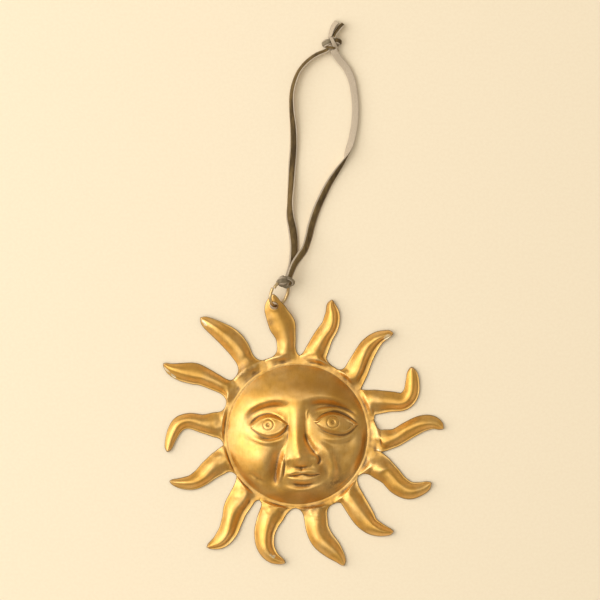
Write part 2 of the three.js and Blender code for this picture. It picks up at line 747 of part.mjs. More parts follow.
// Routes of the two strands, from the hitch to the knot. Each point is its place right of and above
// the hitch's middle, how high the strand is lifted off the table, and how far it is rolled over.
// A roll of 0 lays the velvet face up, 90 turns it to the left, and 180 turns it down.
const leftRoute = [
  [3.4, 6.9, 1.1, -20], [3.9, 10.2, 0.5, -20], [4.3, 15.5, 0.1, -12], [3.6, 21, 0, 0], [2.6, 27.2, 0, 25],
  [2.6, 32.7, 0, 55], [2.8, 38.9, 0, 35], [3.2, 46.7, 0, 20], [3.6, 54.5, 0, 20], [3.4, 62.3, 0, 35],
  [2.9, 70, 0, 65], [3.1, 76.3, 0, 82], [3.6, 81, 0, 80], [5.5, 85.6, 0, 72], [8.7, 89.2, 0, 68],
  [13, 91.9, 0, 68], [17.2, 94, 0.1, 70],
];
const rightRoute = [
  [3.2, 7.4, 4.5, -28], [5.5, 10.3, 3.2, -35], [7.6, 13.4, 2.0, -40], [10.2, 18.7, 0.5, -38],
  [11.8, 23.3, 0, -32], [13.4, 29.6, 0, -30], [15.7, 35, 0, -35], [18.4, 39.7, 0, -50],
  [21.9, 45.1, 0, -85], [25.4, 49.8, 0, -130], [27.5, 56, 0, -165], [28.7, 63.1, 0, -172],
  [29.2, 70, 0, -175], [28.7, 77, 0, -178], [27.4, 82.5, 0, -178], [25, 87.2, 0, -175],
  [22, 91, 0.6, -172], [20.4, 93.9, 1.5, -172],
];

// How high the middle of a rolled ribbon lies when its lowest edge touches down
const lieHeight = (roll) => (
  ribbonWidth / 2 * Math.abs(Math.sin(roll)) + ribbonThickness / 2 * Math.abs(Math.cos(roll))
);

// The direction that the velvet face of a rolled ribbon looks in
function rolledFace(tangent, roll) {
  const right = new THREE.Vector3(tangent.y, -tangent.x, 0).normalize();
  const up = new THREE.Vector3().crossVectors(right, tangent);
  return up.multiplyScalar(Math.cos(roll)).addScaledVector(right, -Math.sin(roll));
}

function strandPath(side, route) {
  const points = [inHitch(side * legOut, strandExit + strandStart, -strandBack)];
  const rolls = [new THREE.Vector3(strandRoll * degree, 0, 0)];
  for (const [right, up, lift, roll] of route) {
    const angle = roll * degree;
    const height = tableGap + lift + lieHeight(angle);
    points.push(new THREE.Vector3(hitchCentre.x + right, hitchCentre.y + up, height));
    rolls.push(new THREE.Vector3(angle, 0, 0));
  }
  const rollCurve = new THREE.CatmullRomCurve3(rolls, false, 'centripetal');
  return new FacedPath(points, (curve, share, tangent) => {
    const roll = rollCurve.getPoint(curve.getUtoTmapping(share)).x;
    return rolledFace(tangent, roll);
  });
}

const ribbonSection = flatSection(ribbonWidth, ribbonThickness);
const leftStrand = strandPath(1, leftRoute);
const rightStrand = strandPath(-1, rightRoute);

// Overhand knot: a three lobed loop passed through itself, opened at the lobe that meets the strands
const knotCentre = new THREE.Vector3(
  hitchCentre.x + knotRight,
  hitchCentre.y + knotUp,
  tableGap + knotRise + knotStrand / 2,
);

class KnotPath extends THREE.Curve {
  getPoint(share, target = new THREE.Vector3()) {
    const t = lerp(-Math.PI + knotOpening, Math.PI - knotOpening, share);
    const x = knotLobe * (Math.sin(t) + 2 * Math.sin(2 * t));
    const y = knotLobe * (Math.cos(t) - 2 * Math.cos(2 * t));
    return target.set(knotCentre.x + x, knotCentre.y + y, knotCentre.z - knotRise * Math.sin(3 * t));
  }
}
const knotGeometry = sweep(roundSection(knotStrand, knotSides), new KnotPath(), knotSteps);

// The two cut ends above the knot, each point measured from the knot's middle
const leftTail = [[-0.8, 3.5, 0.4, 80], [-1, 5.2, 0, 72], [0.1, 7.2, 0, 62], [1.3, 8.4, 0, 55]];
const rightTail = [[1.4, 3.5, 0.4, 80], [2.4, 5.2, 0, 70], [3.7, 7, 0, 60], [4.7, 8.2, 0, 50]];

function tailGeometry(route) {
  const points = route.map(([right, up, lift, roll]) => new THREE.Vector3(
    knotCentre.x + right,
    knotCentre.y + up,
    tableGap + lift + lieHeight(roll * degree),
  ));
  const startRoll = route[0][3] * degree;
  const endRoll = route[route.length - 1][3] * degree;
  const path = new FacedPath(points, (curve, share, tangent) => {
    const roll = lerp(startRoll, endRoll, share);
    return rolledFace(tangent, roll);
  });
  return sweep(ribbonSection, path, tailSteps);
}

// Materials
const goldPaint = new THREE.MeshStandardMaterial({ color: 0xc8963c, roughness: 0.38, metalness: 0.9 });
const ringBrass = new THREE.MeshStandardMaterial({ color: 0xc9a35a, roughness: 0.3, metalness: 1 });
const velvet = new THREE.MeshStandardMaterial({ color: 0x6b5636, roughness: 0.95, metalness: 0 });

function piece(name, geometry, material) {
  const mesh = new THREE.Mesh(geometry, material);
  mesh.name = name;
  return mesh;
}

const metal = new THREE.Group();
metal.add(piece('sun_sheet', punchedSheet(), goldPaint));
metal.add(piece('jump_ring', ringGeometry, ringBrass));

const ribbon = new THREE.Group();
ribbon.add(piece('ribbon_hitch', hitchGeometry(), velvet));
ribbon.add(piece('ribbon_strand_left', sweep(ribbonSection, leftStrand, strandSteps), velvet));
ribbon.add(piece('ribbon_strand_right', sweep(ribbonSection, rightStrand, strandSteps), velvet));
ribbon.add(piece('ribbon_knot', knotGeometry, velvet));
ribbon.add(piece('ribbon_tail_left', tailGeometry(leftTail), velvet));
ribbon.add(piece('ribbon_tail_right', tailGeometry(rightTail), velvet));

// The origin is under the middle of the metal pieces, on the table
const footprint = new THREE.Box3().setFromObject(metal).getCenter(new THREE.Vector3());
const group = new THREE.Group();
group.add(metal, ribbon);
group.position.set(-footprint.x, -footprint.y, 0);

console.log('strand lengths', leftStrand.getLength().toFixed(1), rightStrand.getLength().toFixed(1));

export default group;
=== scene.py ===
"""Iron sun ornament: the looks of the pressed gold sun, its wire jump ring and its velvet ribbon.

Sizes are in millimetres and turned into metres where a mesh is made. Places come from the frame's
joints. The ribbon's routes and the sun's outline repeat those of the construction model.
"""

import json
import math

import bpy
import numpy as np
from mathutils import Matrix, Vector, noise
from mathutils.kdtree import KDTree


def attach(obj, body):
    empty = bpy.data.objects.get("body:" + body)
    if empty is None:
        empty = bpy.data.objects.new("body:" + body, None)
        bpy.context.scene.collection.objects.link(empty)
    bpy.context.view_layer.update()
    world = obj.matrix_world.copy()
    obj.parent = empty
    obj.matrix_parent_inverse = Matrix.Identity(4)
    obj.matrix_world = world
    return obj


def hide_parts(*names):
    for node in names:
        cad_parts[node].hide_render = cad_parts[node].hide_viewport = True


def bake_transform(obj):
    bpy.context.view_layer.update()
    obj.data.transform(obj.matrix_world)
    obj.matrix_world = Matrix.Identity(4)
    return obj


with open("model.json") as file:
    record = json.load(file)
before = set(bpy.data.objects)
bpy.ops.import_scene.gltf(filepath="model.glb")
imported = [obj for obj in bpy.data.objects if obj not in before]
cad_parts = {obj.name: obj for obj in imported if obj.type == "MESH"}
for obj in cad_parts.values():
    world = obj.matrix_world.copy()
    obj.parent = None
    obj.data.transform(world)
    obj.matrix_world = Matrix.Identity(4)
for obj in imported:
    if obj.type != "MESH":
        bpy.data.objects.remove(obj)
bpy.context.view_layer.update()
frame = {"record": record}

MM = 0.001


# Places that the frame gives, in millimetres

def joint_named(name):
    return next(j for j in frame["record"]["behaviour"]["joints"] if j["name"] == name)


def unit(vector):
    return vector / np.linalg.norm(vector)


ring_centre = np.array(joint_named("ring_tilt")["pos_m"]) / MM
ring_axis = unit(np.array(joint_named("ring_tilt")["axis"], float))
hitch_centre = np.array(joint_named("hanger_swing")["pos_m"]) / MM
hitch_along = unit(np.array(joint_named("hanger_swing")["axis"], float))

# The sheet, as pressed and cut

SHEET_THICKNESS = 0.8
FACE_RADIUS = 28.4
DOME_HEIGHT = 7.8
DOME_FULLNESS = 3.0
TIP_CAP = 1.6
TIP_ROUND = 0.75
EDGE_ROUND = 0.22
EDGE_COLUMN = 0.95
HOLE_LENGTH = 3.3
HOLE_WIDTH = 2.8
HOLE_OUT = 24.8
HOLE_ACROSS = 0.9
HANGING_SHARE = 0.83
ROOT_SHARE = 0.2
FILLET_PULL = 0.85
# Rings of the flange round the face: distance beyond the crease at its edge, and height
RIM_LINE = [(0.35, 0.12), (0.75, 0.14), (1.2, 0.02)]
# Shares of the way from the flange to the valleys, where the rays' arches rise
RISE_SHARES = [0.25, 0.5, 0.75]

# The ring and the ribbon

RING_DIAMETER = 10.8
RING_WIRE = 1.2
RING_GAP_ANGLE = math.radians(79)
RING_END_GAP = 0.4
RING_END_OFFSET = 0.35
RING_END_SPRING = 5
RIBBON_WIDTH = 3.2
RIBBON_THICKNESS = 1.2
DRAWN_THICKNESS = 1.05
BUNCHED_THICKNESS = 0.95
GROUND_THICKNESS = 0.35
SELVEDGE = 0.55
SELVEDGE_ROUND = 0.08
GROUND_ROUND = 0.06
UNDER_ROUND = 0.1
KNOT_RIGHT = 19.2
KNOT_UP = 96.8
TABLE_GAP = 0.1

# Mesh counts

COLUMNS = 28
FACE_RINGS = 120
ROOT_ROWS = 10
BLADE_ROWS = 44
UNDER_COARSER = 2
PUNCH_SIDES = 48
RING_STEPS = 140
WIRE_SIDES = 20
STRAND_STEPS = 260
TAIL_STEPS = 30
RUN_STEPS = 56

# The valleys between the rays, clockwise from the one left of the hanging ray.
# Each is its clock angle in degrees and its distance beyond the edge of the face.
VALLEYS = [
    (335.9, 4.8), (361.5, 3.8), (391.6, 2.7), (414.6, 3.4), (439.7, 3.4), (462, 6.6), (484.4, 1.7),
    (512.3, 3.6), (541.1, 1.8), (569.9, 2.7), (596.4, 1.6), (621.7, 2.1), (652.6, 3.1), (670.2, 6.1),
]


def ray_row(crest, skew, lift, lip, tip, *stations):
    """A ray: the height and the lean of its arch's crest, how high its tip is lifted, the flat lip along
    one side as a share of the half width, with a minus sign on the other side, the half width of its
    tip, and stations along it. A station is the distance out from the edge of the face, the distance
    across to the clockwise side, and the half width there, which the last one, the tip, leaves out.
    """
    return dict(crest=crest, skew=skew, lift=lift, lip=lip, tip=tip, stations=stations)


# The rays, clockwise from the hanging ray
RAYS = [
    ray_row(2.2, 0.1, 0, 0.12, 0.8, (7.5, 2.6, 3.8), (11.4, 3.1, 4.2), (16.2, 2.7, 5.4),
            (21.2, 1.4, 4.7), (25, 0.9, 3.8), (29.5, 1.6)),
    ray_row(2.5, -0.25, 0.6, 0.3, 1.4, (6.3, -2.1, 4.6), (12.3, -1.2, 4), (17.6, 0.2, 3.6),
            (22.2, -0.2, 3.1), (25.7, -1.7, 2), (28, -2.1)),
    ray_row(2.8, 0.3, 1.2, 0.4, 1.3, (7.3, -0.2, 4.8), (13, -2, 4.2), (17.7, -3, 3.8),
            (22.4, -2.8, 2.9), (26.3, -1.1, 1.8), (28.3, 0.3)),
    ray_row(2.4, -0.2, 0.3, 0.22, 1.7, (5.8, 0.3, 5.1), (11, 2.2, 4.3), (16.4, 4.4, 3.7),
            (20.6, 2.6, 3.3), (23.2, -1.9, 2.8), (25, -7.2)),
    ray_row(2.5, 0.25, 0.2, 0.15, 1.2, (7.1, 1.9, 4.4), (11.7, 0.7, 3.7), (17, -2.5, 3.6),
            (22.2, -5.1, 3.4), (27, -5.5, 2.7), (31.1, -3.2)),
    ray_row(2.7, -0.15, 0.4, -0.12, 1.5, (8.5, -0.8, 5.1), (12.7, 0.5, 4.4), (17.4, 2.7, 4.2),
            (22.5, 3, 3.7), (26.9, 0.1, 2.6), (29.4, -3.4)),
    ray_row(2.6, -0.3, 0.3, -0.2, 0.9, (5.8, 0.7, 4.9), (14.2, 2.2, 4.6), (18.9, 2.4, 3.7),
            (22.6, 0.9, 2.9), (25.6, -1.2, 1.8), (27.2, -3)),
    ray_row(2.7, 0.2, 0.2, -0.15, 0.9, (6.3, 0.5, 4.8), (10.8, 0.9, 4.7), (15.5, -0.1, 4.7),
            (20.3, -2.9, 4), (24.7, -5.3, 2.4), (28, -6.2)),
    ray_row(2.8, -0.2, 0.9, -0.28, 0.8, (5.5, 1.3, 5.3), (8.9, 2, 4.8), (13.8, 2.1, 4.3),
            (18.9, 0.3, 3.7), (22.3, -3.6, 2.7), (23.3, -9.3)),
    ray_row(2.7, 0.3, 0.5, -0.35, 0.8, (6.1, -1.3, 5.3), (10.8, -2.4, 5), (15.2, -4.5, 4.3),
            (20.1, -6.5, 3.9), (25.2, -6.7, 3.1), (30.3, -4.5)),
    ray_row(2.4, -0.3, 0.3, -0.12, 0.7, (5.9, 0.3, 4.9), (10, -0.8, 4.3), (14.4, -2.4, 3.7),
            (18.8, -2.9, 3.1), (23.5, -1.4, 2.1), (27, 0.8)),
    ray_row(2.3, 0.2, 0.4, -0.14, 1.4, (5.7, -0.3, 5.1), (10.5, -0.5, 3.8), (15.9, -0.1, 3.2),
            (20, -2, 3), (22.2, -7, 2.4), (23.2, -13.7)),
    ray_row(2.4, -0.25, 0.5, -0.15, 0.6, (8.3, 0.9, 3.2), (16.5, 0.1, 3.9), (20.4, -0.9, 4.4),
            (25.2, -3, 3.7), (29.4, -4.1, 2.4), (33.2, -3.9)),
    ray_row(2.6, 0.25, 1.0, 0.1, 1.3, (9.2, 1.3, 3.8), (14.5, 1.9, 4.4), (19.6, 1.4, 4.4),
            (24.8, -0.2, 3.6), (29.5, -1.9, 2.6), (33.2, -3)),
]
ARCH = dict(
    root_crest=1.7, grown_at=0.3, fade_from=0.65, fade=0.6, leans=3, lean_share=0.5,
    round_side=2, round_top=1.15, drop_side=2, drop_top=1.7, edge=0.06, curl=0.2)


# Camera, floor and light

PHOTO_SIDE = 600
MM_PER_PIXEL = 0.407
FACE_PIXEL = (297.4, 434.2)
CAMERA_HEIGHT = 1500
CAMERA_REACH = 20
SENSOR = 36
# Each lamp: its place, what it points at and its size, in metres, then its watts and colour
LAMPS = {
    "window": ((-1.0, 0.12, 0.75), (0.02, 0.03, 0), (1.5, 1.2), 12.8, (1, 0.985, 0.96)),
    "ceiling": ((-0.4, 0.4, 2.2), (0, 0.03, 0), (2.8, 2.8), 23, (1, 0.985, 0.95)),
}
WORLD_COLOUR = (1, 0.91, 0.74, 1)
WORLD_STRENGTH = 0.39
FLOOR_SIZE = 3
FLOOR_DROP = 0.02


def make_camera(face_centre):
    centre_x = face_centre[0] + (PHOTO_SIDE / 2 - FACE_PIXEL[0]) * MM_PER_PIXEL
    centre_y = face_centre[1] + (FACE_PIXEL[1] - PHOTO_SIDE / 2) * MM_PER_PIXEL
    data = bpy.data.cameras.new("camera")
    data.sensor_width = SENSOR
    data.lens = SENSOR * CAMERA_HEIGHT / (PHOTO_SIDE * MM_PER_PIXEL)
    data.clip_end = CAMERA_REACH
    camera = bpy.data.objects.new("camera", data)
    camera.location = (centre_x * MM, centre_y * MM, CAMERA_HEIGHT * MM)
    bpy.context.scene.collection.objects.link(camera)
    bpy.context.scene.camera = camera


def area_light(name, place, target, size, watts, colour):
    data = bpy.data.lights.new(name, "AREA")
    data.shape = "RECTANGLE"
    data.size, data.size_y = size
    data.energy = watts
    data.color = colour
    light = bpy.data.objects.new(name, data)
    light.location = place
    light.rotation_mode = "QUATERNION"
    light.rotation_quaternion = (Vector(target) - Vector(place)).to_track_quat("-Z", "Y")
    bpy.context.scene.collection.objects.link(light)


def make_lights():
    for name, lamp in LAMPS.items():
        area_light(name, *lamp)
    world = bpy.data.worlds.new("studio")
    world.use_nodes = True
    background = world.node_tree.nodes["Background"]
    background.inputs["Color"].default_value = WORLD_COLOUR
    background.inputs["Strength"].default_value = WORLD_STRENGTH
    bpy.context.scene.world = world
    bpy.context.scene.view_settings.view_transform = "Standard"


# Meshes

def make_object(name, points, faces, materials, slots=None):
    """A mesh object from points in millimetres."""
    mesh = bpy.data.meshes.new(name)
    mesh.from_pydata((np.asarray(points) * MM).tolist(), [], [list(map(int, f)) for f in faces])
    for material in materials:
        mesh.materials.append(material)
    if slots is not None:
        mesh.polygons.foreach_set("material_index", np.asarray(slots, np.int32))
    mesh.shade_smooth()
    mesh.update()
    made = bpy.data.objects.new(name, mesh)
    bpy.context.scene.collection.objects.link(made)
    return made


def apply_modifiers(piece):
    """Turns a piece's modifiers into its mesh."""
    depsgraph = bpy.context.evaluated_depsgraph_get()
    mesh = bpy.data.meshes.new_from_object(piece.evaluated_get(depsgraph), depsgraph=depsgraph)
    piece.modifiers.clear()
    piece.data = mesh


def smoothstep(value, low, high):
    t = np.clip((value - low) / (high - low), 0, 1)
    return t * t * (3 - 2 * t)


def mix(a, b, share):
    return a + (b - a) * share


def bell(distance, width):
    return np.exp(-((distance / width) ** 2))


def oval_bell(x, y, half_width, half_height):
    return np.exp(-((x / half_width) ** 2) - (y / half_height) ** 2)


# A step of a curve that is shorter than this counts as none
SHORT_STEP = 1e-4


def curve_points(points, shares, centripetal=True):
    """Points and tangents of a Catmull-Rom curve at shares of its parameter."""
    p = np.asarray(points, float)
    p = np.vstack([2 * p[0] - p[1], p, 2 * p[-1] - p[-2]])
    segments = len(p) - 3
    t = np.clip(np.asarray(shares, float) * segments, 0, segments)
    index = np.minimum(t.astype(int), segments - 1)
    u = (t - index)[:, None]
    p0, p1, p2, p3 = (p[index + k] for k in range(4))
    if centripetal:
        steps = ((p0, p1), (p1, p2), (p2, p3))
        d0, d1, d2 = (np.linalg.norm(b - a, axis=1)[:, None] ** 0.5 for a, b in steps)
        d1 = np.where(d1 < SHORT_STEP, 1, d1)
        d0 = np.where(d0 < SHORT_STEP, d1, d0)
        d2 = np.where(d2 < SHORT_STEP, d1, d2)
        m1 = ((p1 - p0) / d0 - (p2 - p0) / (d0 + d1) + (p2 - p1) / d1) * d1
        m2 = ((p2 - p1) / d1 - (p3 - p1) / (d1 + d2) + (p3 - p2) / d2) * d1
    else:
        m1, m2 = (p2 - p0) / 2, (p3 - p1) / 2
    a, b = 2 * p1 - 2 * p2 + m1 + m2, -3 * p1 + 3 * p2 - 2 * m1 - m2
    return a * u ** 3 + b * u ** 2 + m1 * u + p1, 3 * a * u ** 2 + 2 * b * u + m1


CURVE_SAMPLES = 1000


def even_shares(points, count):
    """Shares of a curve's parameter at even steps of its length, and the length."""
    shares = np.linspace(0, 1, CURVE_SAMPLES)
    places, _ = curve_points(points, shares)
    length = np.concatenate([[0], np.cumsum(np.linalg.norm(np.diff(places, axis=0), axis=1))])
    return np.interp(np.linspace(0, length[-1], count), length, shares), length[-1]


# Relief of the face, in millimetres right of and above the middle of the face

RELIEF_FADE = 0.93
EDGE_STEPS = 60

# Each eye: the edges of its opening, the outer edges of its lids, and its iris
LEFT_EYE = dict(
    upper=[(-18.4, 3.0), (-15.1, 5.7), (-11.6, 7.0), (-7.7, 6.2), (-4.4, 4.0)],
    lower=[(-18.4, 3.0), (-15.5, 1.1), (-12.0, 0.1), (-8.1, 1.2), (-4.4, 4.0)],
    crease=[(-20.0, 3.4), (-15.9, 7.2), (-11.2, 8.4), (-7.3, 7.1), (-3.4, 4.4)],
    under=[(-20.0, 3.4), (-15.6, 0.1), (-11.4, -1.1), (-7.3, -0.1), (-3.4, 4.4)],
    iris=(-11.8, 4.2), iris_radius=2.15,
)
RIGHT_EYE = dict(
    upper=[(7.6, 4.8), (10.6, 7.1), (14.1, 8.1), (18.0, 7.2), (23.4, 4.0)],
    lower=[(7.6, 4.8), (11.0, 2.9), (15.3, 1.7), (19.5, 1.5), (23.4, 4.0)],
    crease=[(6.4, 5.6), (10.8, 8.5), (15.2, 9.3), (19.9, 7.7), (25.2, 4.2)],
    under=[(6.4, 5.6), (10.6, 1.9), (15.3, 0.6), (19.8, 0.4), (25.2, 4.2)],
    iris=(14.4, 5.2), iris_radius=2.4,
)
LIDS = dict(height=0.95, rise=1.6, edge=0.5)
EYEBALL = dict(drop=0.55, height=0.75, half_width=7.2, half_height=4.6, below=0.6)
IRIS = dict(line=0.28, depth=0.24, pupil=0.9, pupil_depth=0.42)

# The nose from under its tip to its root: how far up, and its left foot, right foot and height there
NOSE = np.array([
    (-14.8, -2.8, 4.6, 0), (-13.4, -3.0, 5.0, 0.5), (-12.0, -3.8, 5.9, 1.5), (-10.2, -4.6, 6.7, 2.6),
    (-8.2, -4.9, 6.7, 3.1), (-5.5, -4.6, 5.0, 2.7), (-2, -4.1, 3.6, 2.2), (2, -3.8, 3.1, 1.6),
    (7, -3.7, 3.1, 1.15), (12, -3.9, 3.3, 0.6), (16, -4.6, 3.6, 0),
])
NOSE_SIDES = 1.6
NOSE_TOP = 1.2

# Soft swellings: how far right and up, half width, half height and height
SWELLINGS = {
    "left cheek": (-15.2, -10, 6.6, 8.5, 1.9),
    "right cheek": (16.5, -7.5, 6, 7.5, 0.5),
    "muzzle": (2.6, -16.4, 7.5, 5, 0.9),
    "tip of the nose": (0.9, -9.2, 2.6, 2.0, 0.9),
    "left wing of the nose": (-4.3, -9.9, 1.6, 1.8, 1.1),
    "right wing of the nose": (7, -9.8, 1.6, 1.8, 1),
    "chin": (1, -23.6, 7.5, 2.2, 0.7),
}

# Ridges, and grooves where the height is below 0: the height, the width on the left and on the right
# of the curve's direction, the curve, and the share of its length that fades out at each end, if not FADE
FADE = 0.25
STROKES = {
    "brows": (1.0, 5.5, 2.4, [
        (-24, 4), (-19.4, 10.6), (-10.5, 14.6), (0, 14.8), (8, 16.2), (16, 15), (22, 11.4),
        (25.5, 7.4)]),
    "hollow under the left brow": (-2.0, 2.2, 4, [
        (-21.6, 3.6), (-20, 6.2), (-17, 8.8), (-13.4, 10.4), (-8.8, 11.2), (-5.2, 10.4), (-4, 8)]),
    "hollow under the right brow": (-2.4, 2.2, 3.6, [
        (3.9, 8.4), (5.2, 10.8), (8.8, 11.9), (14.1, 11.5), (19.6, 9.6), (24.6, 6.4)]),
    "hollow left of the nose": (-0.55, 1.6, 1.4, [(-4.2, 10), (-4, 6), (-4.1, 2), (-4.3, -3)]),
    "hollow right of the nose": (-0.55, 1.4, 1.2, [(4, -1), (3.8, 2), (3.7, 6), (4.1, 10)]),
    "fold over the right eye": (0.4, 0.5, 0.6, [
        (4.8, 8.6), (10.2, 10.4), (16, 10.5), (21.9, 8.3), (25.2, 6)]),
    "crease over the right eye": (-0.35, 0.4, 0.5, [
        (6.2, 5.6), (10.8, 8.7), (15.4, 9.4), (20, 7.8), (24.8, 4.6)]),
    "crease over the left eye": (-0.35, 0.4, 0.5, [
        (-20, 3.9), (-15.9, 7.4), (-11.2, 8.6), (-7.3, 7.2), (-3.8, 4.6)]),
    "groove under the left eye": (-0.6, 0.5, 0.7, [
        (-17, 0.6), (-14.4, -1), (-11.3, -1.6), (-7.3, -0.6), (-4.6, 1.8), (-3.3, 4.2)], 0.35),
    "bag under the left eye": (0.4, 1.1, 1.1, [
        (-20.5, 0.2), (-15.3, -2.4), (-11.2, -3.1), (-6.5, -1.9), (-3.8, 0.2)]),
    "hollow under the left bag": (-0.5, 1.3, 2.4, [
        (-24.6, 1.6), (-21, -1.6), (-15.3, -4.5), (-11, -4.9), (-6.2, -3.7)]),
    "groove under the right eye": (-0.45, 0.5, 0.7, [
        (7.4, 3.4), (10.8, 1.4), (15.3, 0.1), (19.9, 0), (24.4, 3)]),
    "bag under the right eye": (0.4, 1, 1.1, [(8.6, -0.6), (14.2, -1.9), (19.5, -1.2), (24, 1.8)]),
    "hollow under the right bag": (-0.4, 1.1, 2, [
        (7.6, -1.4), (14.6, -3.8), (20, -3.2), (24.4, -0.4)]),
    "crease beside the right wing of the nose": (-1.3, 1.5, 0.9, [
        (2.9, 1), (4.2, -2.6), (6, -5.8), (8.4, -8.6)]),
    "fold beside the bridge of the nose": (0.22, 0.4, 0.4, [(5.2, 11), (3.9, 9.2), (3.9, 6)]),
    "crease round the left wing": (-0.45, 0.7, 0.8, [
        (-4.9, -6.8), (-6.2, -8.6), (-6.3, -10.4), (-5.1, -12)], 0.3),
    "crease round the right wing": (-0.6, 0.8, 0.7, [
        (7.4, -7.4), (9, -9.2), (8.9, -11), (7.4, -12.2)]),
    "hollow under the nose": (-0.6, 0.9, 0.9, [(-2.2, -12.6), (1.6, -13.3), (5.2, -12.6)], 0.4),
    "fold left of the mouth": (-2.1, 1.5, 3.0, [
        (-4.8, -2.4), (-7.4, -7.4), (-8.8, -13.2), (-9.1, -18), (-8.6, -22)], 0.3),
    "crest beside the left fold": (0.6, 0.6, 1.1, [
        (-5.2, -6), (-5.8, -9.5), (-6.4, -14), (-7, -18.4), (-6.8, -20.6)]),
    "crease beside the left crest": (-0.3, 0.6, 0.5, [
        (-4.6, -7), (-5, -10.8), (-5.4, -14.6), (-6, -18)], 0.3),
    "fold right of the mouth": (-0.8, 2.0, 2.4, [
        (7.9, -8.4), (10.7, -11.8), (12.1, -15.4), (11.6, -19.4)]),
    "crest beside the right fold": (1.2, 1.8, 2.4, [
        (6.8, -2), (9.8, -4), (12.8, -7.6), (14.6, -11.8), (14.9, -16.4), (13.4, -20.4)]),
    "drop from the crest into the right cheek": (-0.8, 3.0, 1.6, [
        (13.8, -6.8), (16.2, -11), (16.5, -16), (15, -19.6)]),
    "upper lip": (0.8, 1.2, 1.1, [
        (-4.4, -16.3), (-2.3, -15.4), (-0.5, -14.7), (1.8, -15.2), (4.4, -14.6), (7.2, -15),
        (10.2, -15.4)], 0.15),
    "dip of the upper lip": (-0.35, 0.5, 0.5, [(1.7, -12.8), (1.8, -14.6)]),
    "line of the mouth": (-0.6, 0.42, 0.42, [
        (-4.6, -16.8), (-0.3, -16.5), (2.2, -16), (5.7, -16.5), (10.2, -15.7)], 0.15),
    "lower lip": (0.75, 1.1, 1, [(-3.6, -17.6), (-0.5, -18.1), (2.2, -18.4), (5, -18), (8.8, -17)], 0.2),
    "hollow under the lower lip": (-0.8, 0.8, 1.1, [
        (-3.2, -19.3), (-0.4, -20.2), (2.4, -20.5), (5, -20.2), (7.6, -19.3)], 0.35),
    "crest of the chin": (0.6, 1, 1.6, [
        (-6.6, -20.6), (-1.1, -22.2), (4.4, -22), (9.4, -20.6), (12.7, -17.8)]),
    "dent in the left cheek": (-0.5, 1.2, 1.0, [(-20, -15.2), (-16.6, -17.2), (-13.2, -19.6)], 0.3),
    "second line along the right edge": (-0.4, 0.35, 0.45, [
        (27.6, 2), (27, -8.7), (22.4, -16.6), (14, -23.7)]),
    "fullness inside the right edge": (1.1, 1.6, 3.2, [
        (25.6, 4), (25.6, -3), (23.4, -10.4), (19, -16.8)], 0.3),
}
STROKE_SPACING = 0.9
STROKE_REACH = 2.6


def stroke(x, y, height, left, right, points, fade=FADE):
    """Height of a ridge or groove along a curve, from bells spaced evenly along it."""
    width = min(left, right)
    length = even_shares(points, 2)[1]
    count = math.ceil(length / (STROKE_SPACING * width)) + 1
    line, tangent = curve_points(points, even_shares(points, count)[0])
    tangent /= np.linalg.norm(tangent, axis=1)[:, None]
    share = np.linspace(0, 1, count)
    strength = smoothstep(share, 0, fade) * (1 - smoothstep(share, 1 - fade, 1))
    strength *= height * length / (count - 1) / (width * math.sqrt(math.pi))
    reach = STROKE_REACH * max(left, right)
    low, high = line.min(0) - reach, line.max(0) + reach
    near = np.flatnonzero((x > low[0]) & (x < high[0]) & (y > low[1]) & (y < high[1]))
    dx, dy = x[near, None] - line[:, 0], y[near, None] - line[:, 1]
    along = dx * tangent[:, 0] + dy * tangent[:, 1]
    across = dy * tangent[:, 0] - dx * tangent[:, 1]
    made = np.zeros(len(x))
    made[near] = oval_bell(along, across, width, np.where(across > 0, left, right)) @ strength
    return made


def edge_at(x, points):
    """A smooth curve through points, as a function of their first coordinate, which only grows."""
    line, _ = curve_points(points, np.linspace(0, 1, EDGE_STEPS * (len(points) - 1) + 1))
    return np.interp(x, line[:, 0], line[:, 1])


def eye_relief(x, y, upper, lower, crease, under, iris, iris_radius):
    """Two lids as one almond shaped swelling, opened over an eyeball with its iris and pupil."""
    in_lids = smoothstep(np.minimum(edge_at(x, crease) - y, y - edge_at(x, under)), 0, LIDS["rise"])
    in_opening = smoothstep(np.minimum(edge_at(x, upper) - y, y - edge_at(x, lower)), 0, LIDS["edge"])
    right = (x - iris[0]) / EYEBALL["half_width"]
    up = (y - iris[1] + EYEBALL["below"]) / EYEBALL["half_height"]
    ball = EYEBALL["height"] * np.maximum(0, 1 - right ** 2 - up ** 2) - EYEBALL["drop"]
    out = np.hypot(x - iris[0], y - iris[1])
    ball -= IRIS["depth"] * bell(out - iris_radius, IRIS["line"])
    ball -= IRIS["pupil_depth"] * bell(np.maximum(0, out - IRIS["pupil"] / 2), IRIS["pupil"] / 2)
    return LIDS["height"] * in_lids + in_opening * ball


def nose_relief(x, y):
    left, right, height = (edge_at(y, NOSE[:, [0, k]]) for k in (1, 2, 3))
    side = np.abs((2 * x - left - right) / (right - left)) ** NOSE_SIDES
    return height * np.maximum(0, 1 - side) ** NOSE_TOP


def face_height(x, y):
    """Height of the sheet's upper side over the face, above the flat flange around it."""
    share = np.hypot(x, y) / FACE_RADIUS
    relief = eye_relief(x, y, **LEFT_EYE) + eye_relief(x, y, **RIGHT_EYE) + nose_relief(x, y)
    for right, up, half_width, half_height, height in SWELLINGS.values():
        relief += height * oval_bell(x - right, y - up, half_width, half_height)
    for line in STROKES.values():
        relief += stroke(x, y, *line)
    return DOME_HEIGHT * (1 - share ** DOME_FULLNESS) + relief * (1 - smoothstep(share, RELIEF_FADE, 1))


# Outline and arch of the rays

